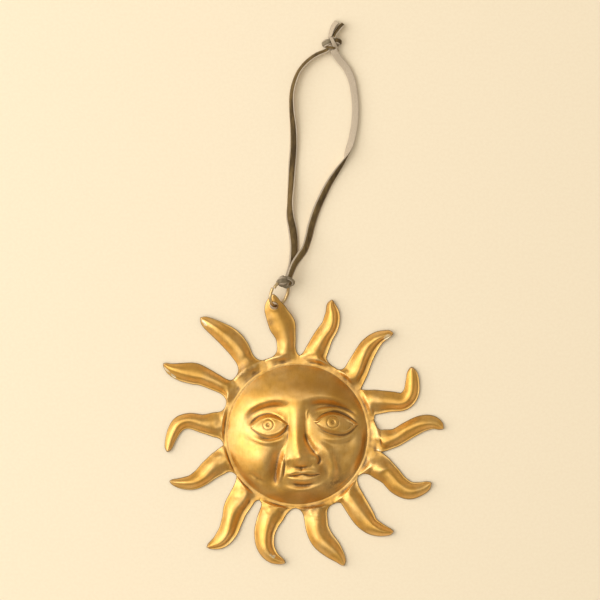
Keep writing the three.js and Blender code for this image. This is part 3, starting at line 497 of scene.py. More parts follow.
def ray_frame(index):
    start = VALLEYS[index][0]
    end = VALLEYS[(index + 1) % len(VALLEYS)][0]
    end += 360 if end < start else 0
    angle = math.radians((start + end) / 2)
    outward = np.array([math.sin(angle), math.cos(angle)])
    clockwise = np.array([outward[1], -outward[0]])
    return math.radians(start), math.radians(end), outward, clockwise


def place_in_ray(index, out, across):
    _, _, outward, clockwise = ray_frame(index)
    return outward * (FACE_RADIUS + out) + clockwise * across


def ray_spine(index, shares):
    """Middle, direction and half width of a ray at shares of its spine."""
    ray = RAYS[index]
    knots = []
    for out, across, *width in ray["stations"]:
        knots.append([*place_in_ray(index, out, across), width[0] if width else ray["tip"]])
    middle, tangent = curve_points(knots, shares, centripetal=False)
    along = tangent[:, :2] / np.linalg.norm(tangent[:, :2], axis=1)[:, None]
    before_end = np.linalg.norm(middle[:, :2] - middle[-1, :2], axis=1)
    cap = np.clip(1 - before_end / (TIP_CAP * ray["tip"]), 0, 1)
    return middle[:, :2], along, middle[:, 2] * (1 - TIP_ROUND * cap ** 2)


def ray_arch(ray, share, column):
    """Height of a ray's arch above its edges: round on one side, and a drop to a flat lip on the other."""
    toward_lip = column * math.copysign(1, ray["lip"])
    lip = abs(ray["lip"])
    crest = ARCH["lean_share"] * ray["skew"] * np.sin(share * ARCH["leans"] * math.pi)
    round_side = np.clip((crest - toward_lip) / (1 + crest - ARCH["edge"]), 0, 1)
    drop_side = np.clip((toward_lip - crest) / (1 - lip - crest), 0, 1)
    profile = np.where(
        toward_lip < crest, (1 - round_side ** ARCH["round_side"]) ** ARCH["round_top"],
        (1 - drop_side ** ARCH["drop_side"]) ** ARCH["drop_top"])
    grown = mix(ARCH["root_crest"], ray["crest"], smoothstep(share, 0, ARCH["grown_at"]))
    curl = ARCH["curl"] * smoothstep(toward_lip, 1 - lip / 2, 1) * smoothstep(share, 0, ARCH["grown_at"])
    return (grown * profile + curl) * (1 - ARCH["fade"] * smoothstep(share, ARCH["fade_from"], 1))


hole_in_face_axes = place_in_ray(0, HOLE_OUT, HOLE_ACROSS)
ring_radius = RING_DIAMETER / 2
hole_place = ring_centre - ring_axis * ring_radius
face_centre = hole_place[:2] - hole_in_face_axes
arch_at_hole = ray_arch(RAYS[0], HANGING_SHARE, 0)
RAYS[0]["lift"] = (ring_centre[2] - arch_at_hole - SHEET_THICKNESS / 2) / HANGING_SHARE ** 2


def sheet_surface(coarser=1):
    """The sheet's upper side about the face's centre, at full or lesser density: points and faces."""
    face_rings = FACE_RINGS // coarser
    root_rows = ROOT_ROWS // coarser
    blade_rows = BLADE_ROWS // coarser
    column = np.linspace(-1, 1, COLUMNS // coarser + 1)
    if coarser == 1:
        column = np.sort(np.append(column, [-EDGE_COLUMN, EDGE_COLUMN]))
    columns = len(column) - 1
    rounded = np.where(np.abs(column) == 1, EDGE_ROUND, 0)
    points = [np.array([[0, 0, face_height(np.zeros(1), np.zeros(1))[0]]])]
    faces = []
    angles, rims, crests = [], [], []
    for index, ray in enumerate(RAYS):
        start, end, _, _ = ray_frame(index)
        share = (column[:-1] + 1) / 2
        angles.append(mix(start, end, share))
        rims.append(FACE_RADIUS + mix(VALLEYS[index][1], VALLEYS[(index + 1) % len(VALLEYS)][1], share))
        crests.append(ray_arch(ray, 0, column[:-1]) - rounded[:-1])
    angles, rims, crests = (np.concatenate(v) for v in (angles, rims, crests))
    spokes = len(angles)
    count = 1

    def add_ring(radius, height):
        nonlocal count
        radius, height = np.broadcast_to(radius, spokes), np.broadcast_to(height, spokes)
        points.append(np.stack([radius * np.sin(angles), radius * np.cos(angles), height], 1))
        count += spokes
        return np.arange(count - spokes, count)

    def join(inner, outer, closed):
        a, b = (np.roll(inner, -1), np.roll(outer, -1)) if closed else (inner[1:], outer[1:])
        inner, outer = (inner, outer) if closed else (inner[:-1], outer[:-1])
        faces.extend(np.stack([inner, a, b, outer], 1).tolist())

    previous = None
    for i in range(1, face_rings + 1):
        radius = FACE_RADIUS * i / face_rings
        height = face_height(radius * np.sin(angles), radius * np.cos(angles)) if i < face_rings else 0
        ring = add_ring(radius, height)
        if previous is None:
            faces.extend([0, int(b), int(a)] for a, b in zip(ring, np.roll(ring, -1)))
        else:
            join(previous, ring, True)
        previous = ring
    for out, height in RIM_LINE:
        ring = add_ring(FACE_RADIUS + out, height)
        join(previous, ring, True)
        previous = ring
    for share in RISE_SHARES:
        risen = mix(RIM_LINE[-1][1], crests, smoothstep(share, 0, 1))
        ring = add_ring(mix(FACE_RADIUS + RIM_LINE[-1][0], rims, share), risen)
        join(previous, ring, True)
        previous = ring
    rim = add_ring(rims, crests)
    join(previous, rim, True)
    rim_points = points[-1][:, :2]

    for index, ray in enumerate(RAYS):
        chosen = (index * columns + np.arange(columns + 1)) % spokes
        row = rim[chosen]
        rim_row = rim_points[chosen]
        middle, along, half = ray_spine(index, np.linspace(0, 1, blade_rows + 1))
        side = np.stack([along[:, 1], -along[:, 0]], 1)
        for r in range(1, root_rows + blade_rows + 1):
            blade = max(0, r - root_rows)
            place = middle[blade] + side[blade] * (column * half[blade])[:, None]
            share = ROOT_SHARE + (1 - ROOT_SHARE) * blade / blade_rows
            if r < root_rows:
                u = r / root_rows
                share = ROOT_SHARE * u
                reach = (place - rim_row) @ along[0]
                bend = place - along[0] * (FILLET_PULL * reach)[:, None]
                place = (1 - u) ** 2 * rim_row + 2 * u * (1 - u) * bend + u ** 2 * place
            height = ray_arch(ray, share, column) + ray["lift"] * share ** 2
            height -= EDGE_ROUND if r == root_rows + blade_rows else rounded
            points.append(np.column_stack([place, height]))
            following = np.arange(count, count + columns + 1)
            count += columns + 1
            join(row, following, False)
            row = following
    return np.vstack(points), faces


def outer_edges(faces):
    """The vertex that follows each vertex along the open edge of a sheet."""
    edges = {edge for f in faces for edge in zip(f, f[1:] + f[:1])}
    return {a: b for a, b in edges if (b, a) not in edges}


def closed_sheet(surface, thickness):
    """Closes a sheet into a solid. Its lower side is as its upper one at half the density."""
    upper, upper_faces = surface(1)
    under, under_faces = surface(UNDER_COARSER)
    lower = under - [0, 0, thickness]
    count = len(upper)
    place_of = {tuple(p): i for i, p in enumerate(np.round(upper[:, :2], 4).tolist())}
    above = [place_of.get(tuple(p)) for p in np.round(under[:, :2], 4).tolist()]
    following = outer_edges(upper_faces)
    walls = []
    for a, b in outer_edges(under_faces).items():
        wall = [above[a]]
        while wall[-1] != above[b]:
            wall.append(following[wall[-1]])
        walls.append([*reversed(wall), a + count, b + count])
    turned = [[v + count for v in reversed(f)] for f in under_faces]
    return np.vstack([upper, lower]), upper_faces + turned + walls


DENT_SIZE = 6.5
DENT_DEPTH = 0.16
RIPPLE_SIZE = 2.2
RIPPLE_DEPTH = 0.05
RIPPLE_PLACE = Vector((7, 3, 1))
# How much of the dents and ripples the face's middle has
MIDDLE_DENTS = 0.25
# The band of deeper ripples at the rays' roots: its distance from the face's middle, and half width
ROOT_BAND = (32, 3.2)
ROOT_RIPPLE = 0.3

# Folds in the sheet outside the face, given as the face's strokes are
FOLDS = {
    "fold across the sixth ray": (0.75, 3, 1.1, [
        (31.5, -17.4), (33.4, -15), (35.2, -13.8), (38.6, -12.6)], 0.3),
    "dent in the root of the fourteenth ray": (-0.5, 1.2, 1.6, [
        (-22.6, 29.2), (-20.4, 31.8), (-19, 34.6)], 0.3),
    "crease across the eighth ray": (-0.3, 0.5, 0.8, [(3.2, -33.5), (7, -33.8), (10.6, -34.4)], 0.3),
    "notch between the fifth and sixth rays": (0.5, 0.8, 0.8, [
        (31.6, -4.6), (34.2, -6.8), (36.4, -7.4)], 0.3),
    "crease across the root of the fifth ray": (-0.35, 0.5, 0.6, [
        (33.2, 2.4), (33.8, -1), (33.4, -4.2)], 0.3),
    "ridge along the second ray": (0.4, 0.6, 0.6, [
        (19.6, 33.5), (21.6, 38), (23.9, 42), (24.8, 46.5)], 0.3),
}


def hand_pressed(points):
    """Small dents, ripples and folds of sheet iron pressed by hand, slight over the face's middle."""
    radius = np.hypot(points[:, 0], points[:, 1])
    dented = mix(MIDDLE_DENTS, 1, np.clip(radius / FACE_RADIUS, 0, 1) ** 3)
    roots = ROOT_RIPPLE * bell(radius - ROOT_BAND[0], ROOT_BAND[1]) * (radius > FACE_RADIUS)
    flat = points * [1, 1, 0]
    dents = [noise.noise(Vector(p / DENT_SIZE)) for p in flat]
    ripples = [noise.noise(Vector(p / RIPPLE_SIZE) + RIPPLE_PLACE) for p in flat]
    moved = points.copy()
    moved[:, 2] += dented * DENT_DEPTH * np.array(dents)
    moved[:, 2] += (dented * RIPPLE_DEPTH + roots) * np.array(ripples)
    for fold in FOLDS.values():
        moved[:, 2] += stroke(points[:, 0], points[:, 1], *fold) * (radius > FACE_RADIUS)
    return moved


def placed_surface(coarser):
    """The sheet's upper side in its place, with its dents."""
    points, faces = sheet_surface(coarser)
    points = hand_pressed(points)
    points[:, 2] += SHEET_THICKNESS
    points[:, :2] += face_centre
    return points, [list(map(int, f)) for f in faces]


# The sheet is lifted in a low ring just beyond the edge of the hole
HOLE_LIP = dict(out=0.2, width=0.6, height=0.3)
PUNCH_LENGTH = 20


def beyond_hole(x, y):
    """How far a place lies from the edge of the hole, which is longer the way that the wire leans."""
    along = unit(hitch_along[:2])
    x, y = x - hole_place[0], y - hole_place[1]
    with_wire = (x * along[0] + y * along[1]) * HOLE_WIDTH / HOLE_LENGTH
    return np.hypot(with_wire, y * along[0] - x * along[1]) - HOLE_WIDTH / 2


def make_sun(material):
    points, faces = closed_sheet(placed_surface, SHEET_THICKNESS)
    from_hole = beyond_hole(points[:, 0], points[:, 1])
    points[:, 2] += HOLE_LIP["height"] * bell(from_hole - HOLE_LIP["out"], HOLE_LIP["width"])
    points[:, 2] = np.maximum(points[:, 2], 0)
    sun = make_object("sun_relief", points, faces, [material])
    bpy.ops.mesh.primitive_cylinder_add(
        vertices=PUNCH_SIDES, radius=HOLE_WIDTH / 2 * MM, depth=PUNCH_LENGTH * MM,
        location=Vector(hole_place) * MM, rotation=(0, 0, math.atan2(hitch_along[1], hitch_along[0])))
    punch = bpy.context.object
    punch.scale.x = HOLE_LENGTH / HOLE_WIDTH
    cut = sun.modifiers.new("hole", "BOOLEAN")
    cut.object = punch
    cut.operation = "DIFFERENCE"
    cut.solver = "EXACT"
    apply_modifiers(sun)
    bpy.data.objects.remove(punch)
    sun.data.shade_smooth()
    return sun


def surface_shape(piece, rounds):
    """How far each point of a mesh lies under the smoothed surface, in millimetres: hollows above 0."""
    mesh = piece.data
    count = len(mesh.vertices)
    points = np.zeros(count * 3)
    mesh.vertices.foreach_get("co", points)
    points = points.reshape(-1, 3)
    normals = np.zeros(count * 3)
    mesh.vertex_normals.foreach_get("vector", normals)
    edges = np.zeros(len(mesh.edges) * 2, np.int64)
    mesh.edges.foreach_get("vertices", edges)
    a, b = edges.reshape(-1, 2).T
    degree = np.bincount(np.concatenate([a, b]), minlength=count)
    smooth = points.copy()
    for _ in range(rounds):
        total = [np.bincount(a, place[b], count) + np.bincount(b, place[a], count) for place in smooth.T]
        smooth = (smooth + np.stack(total, 1) / degree[:, None]) / 2
    return np.einsum("ij,ij->i", smooth - points, normals.reshape(-1, 3)) / MM


OUTLINE_STEP = 0.12


def from_edge(piece):
    """How far each point lies from the sheet's outline or its hole, in millimetres seen from above."""
    points, faces = placed_surface(1)
    tree_points = []
    for a, b in outer_edges(faces).items():
        steps = max(1, math.ceil(np.linalg.norm(points[b, :2] - points[a, :2]) / OUTLINE_STEP))
        tree_points.extend(mix(points[a, :2], points[b, :2], k / steps) for k in range(steps))
    tree = KDTree(len(tree_points))
    for i, p in enumerate(tree_points):
        tree.insert((p[0], p[1], 0), i)
    tree.balance()
    distances = []
    for v in piece.data.vertices:
        place = v.co / MM
        hole = abs(beyond_hole(place.x, place.y))
        distances.append(min(hole, tree.find((place.x, place.y, 0))[2]))
    return np.array(distances)


# Spots on the sheet: millimetres right of and above the middle of the face, half length, half width
# and turn. These are worn pale.
WORN_SPOTS = [
    (36.5, 39.6, 1.7, 1.0, 32), (-37.9, 45.4, 1.9, 0.5, -45), (-37.4, 44.6, 0.6, 0.6, 0),
    (-53.2, 26.3, 2.2, 0.4, -42), (-50.4, 23.8, 1.5, 0.5, -38), (-9.6, -49.6, 1.0, 0.6, 40),
    (-10.8, -48.9, 0.6, 0.5, 0), (-40.3, -44.2, 1.2, 0.5, 20), (33.2, -6.6, 1.2, 0.4, -35),
    (8.6, -53.6, 0.9, 0.6, 0), (44.6, -36.4, 0.7, 0.5, 0),
]
# These are dirty, and the one along the dent in the left cheek is painted shade
GRIME_AND_SHADE_SPOTS = [
    (15.6, -19.5, 4.6, 2.4, 35), (-22, 26, 5, 2.4, 35), (20, 21.5, 4, 1.6, -45), (6, -30, 7, 1.2, 10),
    (-16.4, -17.8, 3.8, 0.8, -28), (-11.2, 45.4, 1.9, 1.5, 30),
]
# In these the paint is a deeper tone as painted shade: under the chin and brows, beside the mouth, along
# the right edge and over the forehead
PAINTED_SHADE_SPOTS = [
    (1, -25.4, 12, 3.4, 0), (17, 17, 11, 6, -40), (9, 20, 10, 4, -10), (-9.5, -15, 6.5, 2.4, 80),
    (14, 12.2, 9, 1.6, -8), (-13, 11, 8, 1.3, 8), (9.6, -13.6, 1.5, 3.5, 0), (-22, -16, 6, 2, -50),
    (26.2, -6, 8, 1.2, 75), (4, 20, 14, 4.5, 0),
]
# How much of the hollows' dirt and painted shade is left beyond the face
RIM_DIRT_AND_SHADE = 0.35
# Rounds of smoothing that show small and broad hollows, and the share of the broad ones. Both are darkened
# as dust and as painted shade
SMALL_ROUNDS = 6
BROAD_ROUNDS = 40
BROAD_SHARE = 0.3


def spots_on(piece, spots):
    """How far each point of the sheet lies in any of some soft oval spots, from 0 to 1."""
    points = np.array([v.co for v in piece.data.vertices]) / MM
    inside = np.zeros(len(points))
    for right, up, half_length, half_width, turn in spots:
        x, y = points[:, 0] - face_centre[0] - right, points[:, 1] - face_centre[1] - up
        c, s = math.cos(math.radians(turn)), math.sin(math.radians(turn))
        inside = np.maximum(inside, oval_bell(x * c + y * s, y * c - x * s, half_length, half_width))
    return inside


def set_attribute(piece, name, values):
    attribute = piece.data.attributes.new(name, "FLOAT", "POINT")
    attribute.data.foreach_set("value", np.asarray(values, np.float32))


# Materials

class Nodes:
    """A material's nodes, added and linked one call at a time."""

    def __init__(self, name):
        self.material = bpy.data.materials.new(name)
        self.material.use_nodes = True
        self.tree = self.material.node_tree
        self.shader = self.tree.nodes["Principled BSDF"]

    def put(self, socket, value):
        if isinstance(value, bpy.types.NodeSocket):
            self.tree.links.new(value, socket)
        elif isinstance(value, tuple) and socket.type == "RGBA":
            socket.default_value = (*value, 1)
        else:
            socket.default_value = value

    def add(self, kind, inputs=None, **settings):
        node = self.tree.nodes.new(kind)
        for key, value in settings.items():
            setattr(node, key, value)
        for key, value in (inputs or {}).items():
            self.put(node.inputs[key], value)
        return node

    def position(self, scale=(1, 1, 1)):
        place = self.add("ShaderNodeTexCoord").outputs["Object"]
        return self.add("ShaderNodeMapping", {"Vector": place, "Scale": scale}).outputs["Vector"]

    def noise(self, size_mm, detail=2.0, roughness=0.5, stretch=(1, 1, 1)):
        """Noise whose patches are about size_mm across, about 0.5 on average."""
        inputs = {"Vector": self.position(stretch), "Scale": 1 / (size_mm * MM)}
        inputs.update({"Detail": detail, "Roughness": roughness})
        return self.add("ShaderNodeTexNoise", inputs).outputs["Fac"]

    def attribute(self, name):
        return self.add("ShaderNodeAttribute", attribute_name=name).outputs["Fac"]

    def remap(self, value, low, high, to_low=0.0, to_high=1.0):
        inputs = {"Value": value, "From Min": low, "From Max": high, "To Min": to_low, "To Max": to_high}
        return self.add("ShaderNodeMapRange", inputs, interpolation_type="SMOOTHSTEP").outputs["Result"]

    def math(self, operation, a, b=0.0):
        node = self.add("ShaderNodeMath", operation=operation)
        self.put(node.inputs[0], a)
        self.put(node.inputs[1], b)
        return node.outputs[0]

    def times(self, a, b):
        return self.math("MULTIPLY", a, b)

    def mix(self, share, a, b):
        node = self.add("ShaderNodeMix", data_type="RGBA")
        self.put(node.inputs[0], share)
        self.put(node.inputs[6], a)
        self.put(node.inputs[7], b)
        return node.outputs[2]

    def bump(self, height, strength, distance_mm, below=None):
        inputs = {"Height": height, "Strength": strength, "Distance": distance_mm * MM}
        if below is not None:
            inputs["Normal"] = below
        return self.add("ShaderNodeBump", inputs).outputs["Normal"]

    def finished(self, inputs):
        """The material, once its shader's inputs are set to values or to other nodes' results."""
        for key, value in inputs.items():
            self.put(self.shader.inputs[key], value)
        return self.material


GOLD = (0.78, 0.43, 0.078)
PALE_GOLD = (0.87, 0.60, 0.25)
# A deeper gold for the clouds and streaks, and for the spots of painted shade
DEEP_GOLD = (0.56, 0.25, 0.02)
# The dark of dust in the hollows and of grime, which also serves as painted shade
DIRT_AND_SHADE = (0.13, 0.055, 0.008)
WORN = (0.92, 0.80, 0.56)
# Bare iron of the cut edge, darkened further as painted contact shadow
CUT_EDGE_AND_SHADOW = (0.11, 0.06, 0.02)
# Sizes in millimetres of the gold's patches, and how strong each tone is
GOLD_SIZES = dict(patches=9, clouds=1.7, speckle=0.35, streaks=0.5, grime_and_shade=2.2, shine=2.4, grain=0.22)
GOLD_TONES = dict(patches=0.5, clouds=0.3, streaks=0.22, ridge=0.6, painted_shade=0.75, dirt_and_shade=0.85, edge=0.85)
BRIGHT_WIRE = (0.9, 0.72, 0.42)
DULL_WIRE = (0.66, 0.45, 0.2)
# Painted shade along the wire's sides and underside
WIRE_SIDE_SHADE = (0.27, 0.145, 0.045)
# Dark and light tone, and sheen, of the ribbon's pile where it is smooth, and where it is crushed, painted
# lighter there as its sheen
SMOOTH_PILE = ((0.06, 0.034, 0.008), (0.26, 0.165, 0.055), 0.25)
PAINTED_SHEEN_PILE = ((0.17, 0.13, 0.08), (0.36, 0.30, 0.2), 0.35)
PILE_SHEEN = (1, 0.82, 0.55)
WOVEN_TONES = ((0.40, 0.315, 0.22), (0.62, 0.51, 0.38))
PAPER_TONES = ((0.93, 0.80, 0.60), (0.95, 0.825, 0.625))


def gold_paint():
    """Satin gold paint: cloudy, rubbed pale on ridges and some tips, dark in the hollows as dust and
    painted shade, with spots of painted shade, and cut edges dark as bare iron and painted shadow.
    """
    n = Nodes("gold_paint")
    size, tone = GOLD_SIZES, GOLD_TONES
    patches = n.remap(n.noise(size["patches"], 3), 0.35, 0.7)
    clouds = n.remap(n.noise(size["clouds"], 4, 0.6), 0.45, 0.75)
    speckle = n.noise(size["speckle"], 3, 0.7)
    streaks = n.noise(size["streaks"], 2, 0.6, (1, 0.08, 0.3))
    colour = n.mix(n.times(patches, tone["patches"]), GOLD, PALE_GOLD)
    colour = n.mix(n.times(clouds, tone["clouds"]), colour, DEEP_GOLD)
    colour = n.mix(n.times(n.remap(streaks, 0.45, 0.75), tone["streaks"]), colour, DEEP_GOLD)
    colour = n.mix(n.times(n.remap(n.attribute("ridge"), 0.02, 0.2), tone["ridge"]), colour, PALE_GOLD)
    # Painted shade: a deeper tone in the spots where the relief lies in shade
    colour = n.mix(n.times(n.attribute("painted_shade"), tone["painted_shade"]), colour, DEEP_GOLD)
    # Dust in small and broad hollows, which also paints the shade that falls in them
    dust_and_shade = n.times(n.remap(n.attribute("hollow"), 0.02, 0.14), n.remap(speckle, 0.2, 0.6, 0.6, 1.0))
    # Grime in spots; the one in the left cheek's dent is painted shade
    grime_and_shade = n.remap(n.noise(size["grime_and_shade"], 4, 0.6), 0.35, 0.6, 0.1, 0.75)
    dirt_and_shade = n.math("MAXIMUM", dust_and_shade, n.times(n.attribute("grime_and_shade"), grime_and_shade))
    colour = n.mix(n.times(dirt_and_shade, tone["dirt_and_shade"]), colour, DIRT_AND_SHADE)
    worn = n.times(n.remap(n.attribute("worn"), 0.3, 0.6), n.remap(speckle, 0.3, 0.5))
    colour = n.mix(worn, colour, WORN)
    # Dark band round the outline and the hole: bare cut iron, and painted shadow under the lifted edges
    # and in the hole
    cut_edge_and_shadow = n.remap(n.math("ADD", n.attribute("edge"), n.times(speckle, 0.12)), 0.1, 0.42, 1, 0)
    colour = n.mix(n.times(cut_edge_and_shadow, tone["edge"]), colour, CUT_EDGE_AND_SHADOW)
    rough = n.remap(n.noise(size["shine"], 3), 0.3, 0.7, 0.4, 0.5)
    grain = n.bump(n.noise(size["grain"], 2, 0.6), 0.25, 0.05)
    return n.finished({
        "Base Color": colour, "Metallic": 1.0, "Roughness": n.math("ADD", rough, n.times(dirt_and_shade, 0.2)),
        "Coat Weight": 0.8, "Coat Roughness": 0.3, "Normal": n.bump(streaks, 0.3, 0.05, grain)})


def brass_wire():
    """Antique gold wire with patchy tarnish, painted darker along its sides and underside as shade."""
    n = Nodes("ring_wire")
    tarnish = n.remap(n.noise(3, 3), 0.4, 0.7)
    wire = n.mix(tarnish, BRIGHT_WIRE, DULL_WIRE)
    painted_side_shade = n.remap(n.attribute("painted_side_shade"), 0.35, 0.95)
    return n.finished({
        "Base Color": n.mix(painted_side_shade, wire, WIRE_SIDE_SHADE), "Metallic": 1.0,
        "Roughness": n.remap(tarnish, 0, 1, 0.3, 0.42), "Normal": n.bump(n.noise(0.3), 0.08, 0.02)})


def velvet(name, dark, light, sheen):
    """Short pile: fine fibres that catch light at the sides."""
    n = Nodes(name)
    fibres = n.noise(0.12, 3, 0.7)
    brushed = n.remap(n.noise(7, 3, 0.6, (1, 0.5, 1)), 0.38, 0.62)
    worn = n.remap(n.noise(1.1, 2, 0.5, (1, 0.3, 1)), 0.4, 0.7)
    share = n.math("ADD", n.times(brushed, 0.45), n.times(worn, 0.3))
    return n.finished({
        "Base Color": n.mix(n.times(share, n.remap(fibres, 0.3, 0.6, 0.55, 1.0)), dark, light),
        "Roughness": 0.9, "Sheen Weight": sheen, "Sheen Roughness": 0.35, "Sheen Tint": PILE_SHEEN,
        "Normal": n.bump(fibres, 0.6, 0.12)})


def woven_back():
    n = Nodes("ribbon_back")
    weave = n.noise(0.18, 2, 0.6)
    return n.finished({
        "Base Color": n.mix(n.remap(weave, 0.3, 0.7), *WOVEN_TONES), "Roughness": 0.7, "Sheen Weight": 0.3,
        "Normal": n.bump(weave, 0.5, 0.1)})


def floor_paper():
    n = Nodes("floor_paper")
    fibre = n.remap(n.noise(1.2, 3, 0.6), 0.3, 0.7)
    return n.finished({
        "Base Color": n.mix(fibre, *PAPER_TONES), "Roughness": 0.8, "Specular IOR Level": 0.2})


# Sweeps

def swept(middles, facings, sections, edge_slots):
    """A section carried along middles. Its x runs to the side, its y toward the facing direction."""
    middles = np.asarray(middles)
    tangents = np.gradient(middles, axis=0)
    tangents /= np.linalg.norm(tangents, axis=1)[:, None]
    sides = np.cross(facings, tangents)
    sides /= np.linalg.norm(sides, axis=1)[:, None]
    fronts = np.cross(tangents, sides)
    rings = middles[:, None] + sides[:, None] * sections[:, :, :1] + fronts[:, None] * sections[:, :, 1:]
    steps, around = rings.shape[:2]
    faces, slots = [], []
    for i in range(steps - 1):
        for j in range(around):
            k = (j + 1) % around
            faces.append([i * around + j, i * around + k, (i + 1) * around + k, (i + 1) * around + j])
            slots.append(edge_slots[j])
    faces.append(list(range(around - 1, -1, -1)))
    faces.append([(steps - 1) * around + j for j in range(around)])
    slots += [edge_slots[0]] * 2
    return rings.reshape(-1, 3), faces, slots


def one_piece(name, sweeps, materials):
    points, faces, slots = [], [], []
    count = 0
    for sweep_points, sweep_faces, sweep_slots in sweeps:
        points.append(sweep_points)
        faces += [[v + count for v in f] for f in sweep_faces]
        slots += sweep_slots
        count += len(sweep_points)
    return make_object(name, np.vstack(points), faces, materials, slots)


# The third slot is pile painted lighter to stand in for its sheen where bunched in the hitch and knot
PILE, BACK, PAINTED_SHEEN = range(3)
# Half the section of the pile: shares of its width and of its height
PILE_SIDE = [(1, 0), (0.98, 0.35), (0.88, 0.7), (0.68, 0.9), (0.36, 0.99)]
# How many edges of a section are of woven back, then of pile, then of back again
SECTION_EDGES = (9, 10, 3)


def ribbon_outline(width, thickness):
    """Section of velvet ribbon: a thin woven ground with bare edges, and a domed pile on its face."""
    x = width / 2
    low = -thickness / 2
    ground = low + GROUND_THICKNESS
    pile = x - SELVEDGE * min(1, width / RIBBON_WIDTH)
    dome = thickness - GROUND_THICKNESS
    corner, inner = low + SELVEDGE_ROUND, x - UNDER_ROUND
    under = [(-x, corner), (-inner, low), (-x / 2, low), (0, low), (x / 2, low), (inner, low), (x, corner)]
    edge = [(x, ground - GROUND_ROUND), (x - SELVEDGE_ROUND, ground)]
    right = edge + [(pile * across, ground + dome * up) for across, up in PILE_SIDE]
    left = [(-across, up) for across, up in right[::-1]]
    return under + right + [(0, ground + dome)] + left


def ribbon_sections(widths, thickness=DRAWN_THICKNESS, pile=PILE):
    """Sections for each width, and the slot of each edge round them."""
    outlines = np.array([ribbon_outline(w, thickness) for w in widths])
    under, over, last = SECTION_EDGES
    return outlines, [BACK] * under + [pile] * over + [BACK] * last


def bunched(origin, shown, middle, *stations):
    """A bunched length of ribbon over one lobe of a knot. It faces away from the lobe's middle."""
    points = [p[:3] for p in stations]
    shares, _ = even_shares(points, RUN_STEPS)
    middles, _ = curve_points(points, shares)
    widths, _ = curve_points([[p[3], 0, 0] for p in stations], shares)
    outward = middles - middle
    if shown == BACK:
        outward = -outward
    pile = PAINTED_SHEEN if shown == PAINTED_SHEEN else PILE
    sections, slots = ribbon_sections(widths[:, 0], BUNCHED_THICKNESS, pile)
    return swept(middles + [*origin, 0], outward, sections, slots)


def lie_height(roll):
    return RIBBON_WIDTH / 2 * abs(math.sin(roll)) + RIBBON_THICKNESS / 2 * abs(math.cos(roll))


def rolled_faces(tangents, rolls):
    right = np.stack([tangents[:, 1], -tangents[:, 0], np.zeros(len(tangents))], 1)
    right /= np.linalg.norm(right, axis=1)[:, None]
    up = np.cross(right, tangents)
    up /= np.linalg.norm(up, axis=1)[:, None]
    return up * np.cos(rolls)[:, None] - right * np.sin(rolls)[:, None]


# Routes of the two strands, from the hitch to the knot. Each point is its place right of and above
# the hitch's middle, how high the strand is lifted off the table, and how far it is rolled over.
LEFT_ROUTE = [
    (1.5, 1.7, 3.9, -20), (2.4, 4.4, 1.9, -20), (3.3, 7.4, 0.9, -18), (3.8, 10.2, 0.4, -14),
    (4.0, 15.5, 0.1, -8), (3.4, 21, 0, 5), (2.2, 27.2, 0, 25), (2.1, 32.7, 0, 48), (2.5, 38.9, 0, 35),
    (3.0, 46.7, 0, 20), (3.6, 54.5, 0, 20), (3.5, 62.3, 0, 32), (2.8, 70, 0, 54), (2.8, 76.3, 0, 62),
    (3.9, 81.5, 0, 64), (5.9, 86, 0, 68), (9, 89.7, 0, 64), (13, 92.6, 0, 62), (17, 94.3, 0.1, 66),
    (18, 95, 0.4, 66),
]
RIGHT_ROUTE = [
    (2.1, 1.9, 5.3, -14), (3.0, 4.4, 5.0, -20), (4.3, 7.4, 3.9, -26), (6.3, 10.3, 2.9, -30),
    (8.4, 13.4, 1.8, -34), (10, 18.2, 0.5, -34), (11.2, 23.3, 0, -30), (13.3, 29.6, 0, -28),
    (15.7, 35, 0, -30), (18.2, 39.9, 0, -38), (21.4, 44.9, 0, -50), (24.2, 49.2, 0, -80),
    (25.4, 52, 0, -118), (26.9, 56, 0, -150), (28.4, 63.1, 0, -166), (28.9, 70, 0, -170),
    (28.4, 77, 0, -172), (27.3, 82.5, 0, -172), (25.2, 87, 0, -172), (22.1, 90.9, 0.6, -172),
    (20.4, 93.4, 1.3, -172), (19.9, 94.6, 1.6, -172),
]
# Visible width of each strand at even shares of its length
LEFT_WIDTHS = [2.6, 3.6, 3.9, 3.6, 3.4, 3.4, 3.4, 3.4, 3.4, 3.2, 2.9]
RIGHT_WIDTHS = [2.5, 3.6, 3.7, 3.6, 3.5, 3.3, 3.0, 2.8, 2.8, 3.0, 2.9]


def strand_line(route):
    """Middles and facing directions of a strand at even steps, and its length."""
    points, rolls = [], []
    for right, up, lift, roll in route:
        angle = math.radians(roll)
        height = TABLE_GAP + lift + lie_height(angle)
        points.append([hitch_centre[0] + right, hitch_centre[1] + up, height])
        rolls.append([angle, 0, 0])
    shares, length = even_shares(points, STRAND_STEPS)
    middles, tangents = curve_points(points, shares)
    turned, _ = curve_points(rolls, shares)
    tangents /= np.linalg.norm(tangents, axis=1)[:, None]
    return middles, rolled_faces(tangents, turned[:, 0]), length


def make_strand(name, route, widths, materials):
    middles, facings, length = strand_line(route)
    along = np.linspace(0, 1, len(middles))
    sections, slots = ribbon_sections(np.interp(along, np.linspace(0, 1, len(widths)), widths))
    strand = one_piece(name, [swept(middles, facings, sections, slots)], materials)
    return strand, middles, length


# The ring

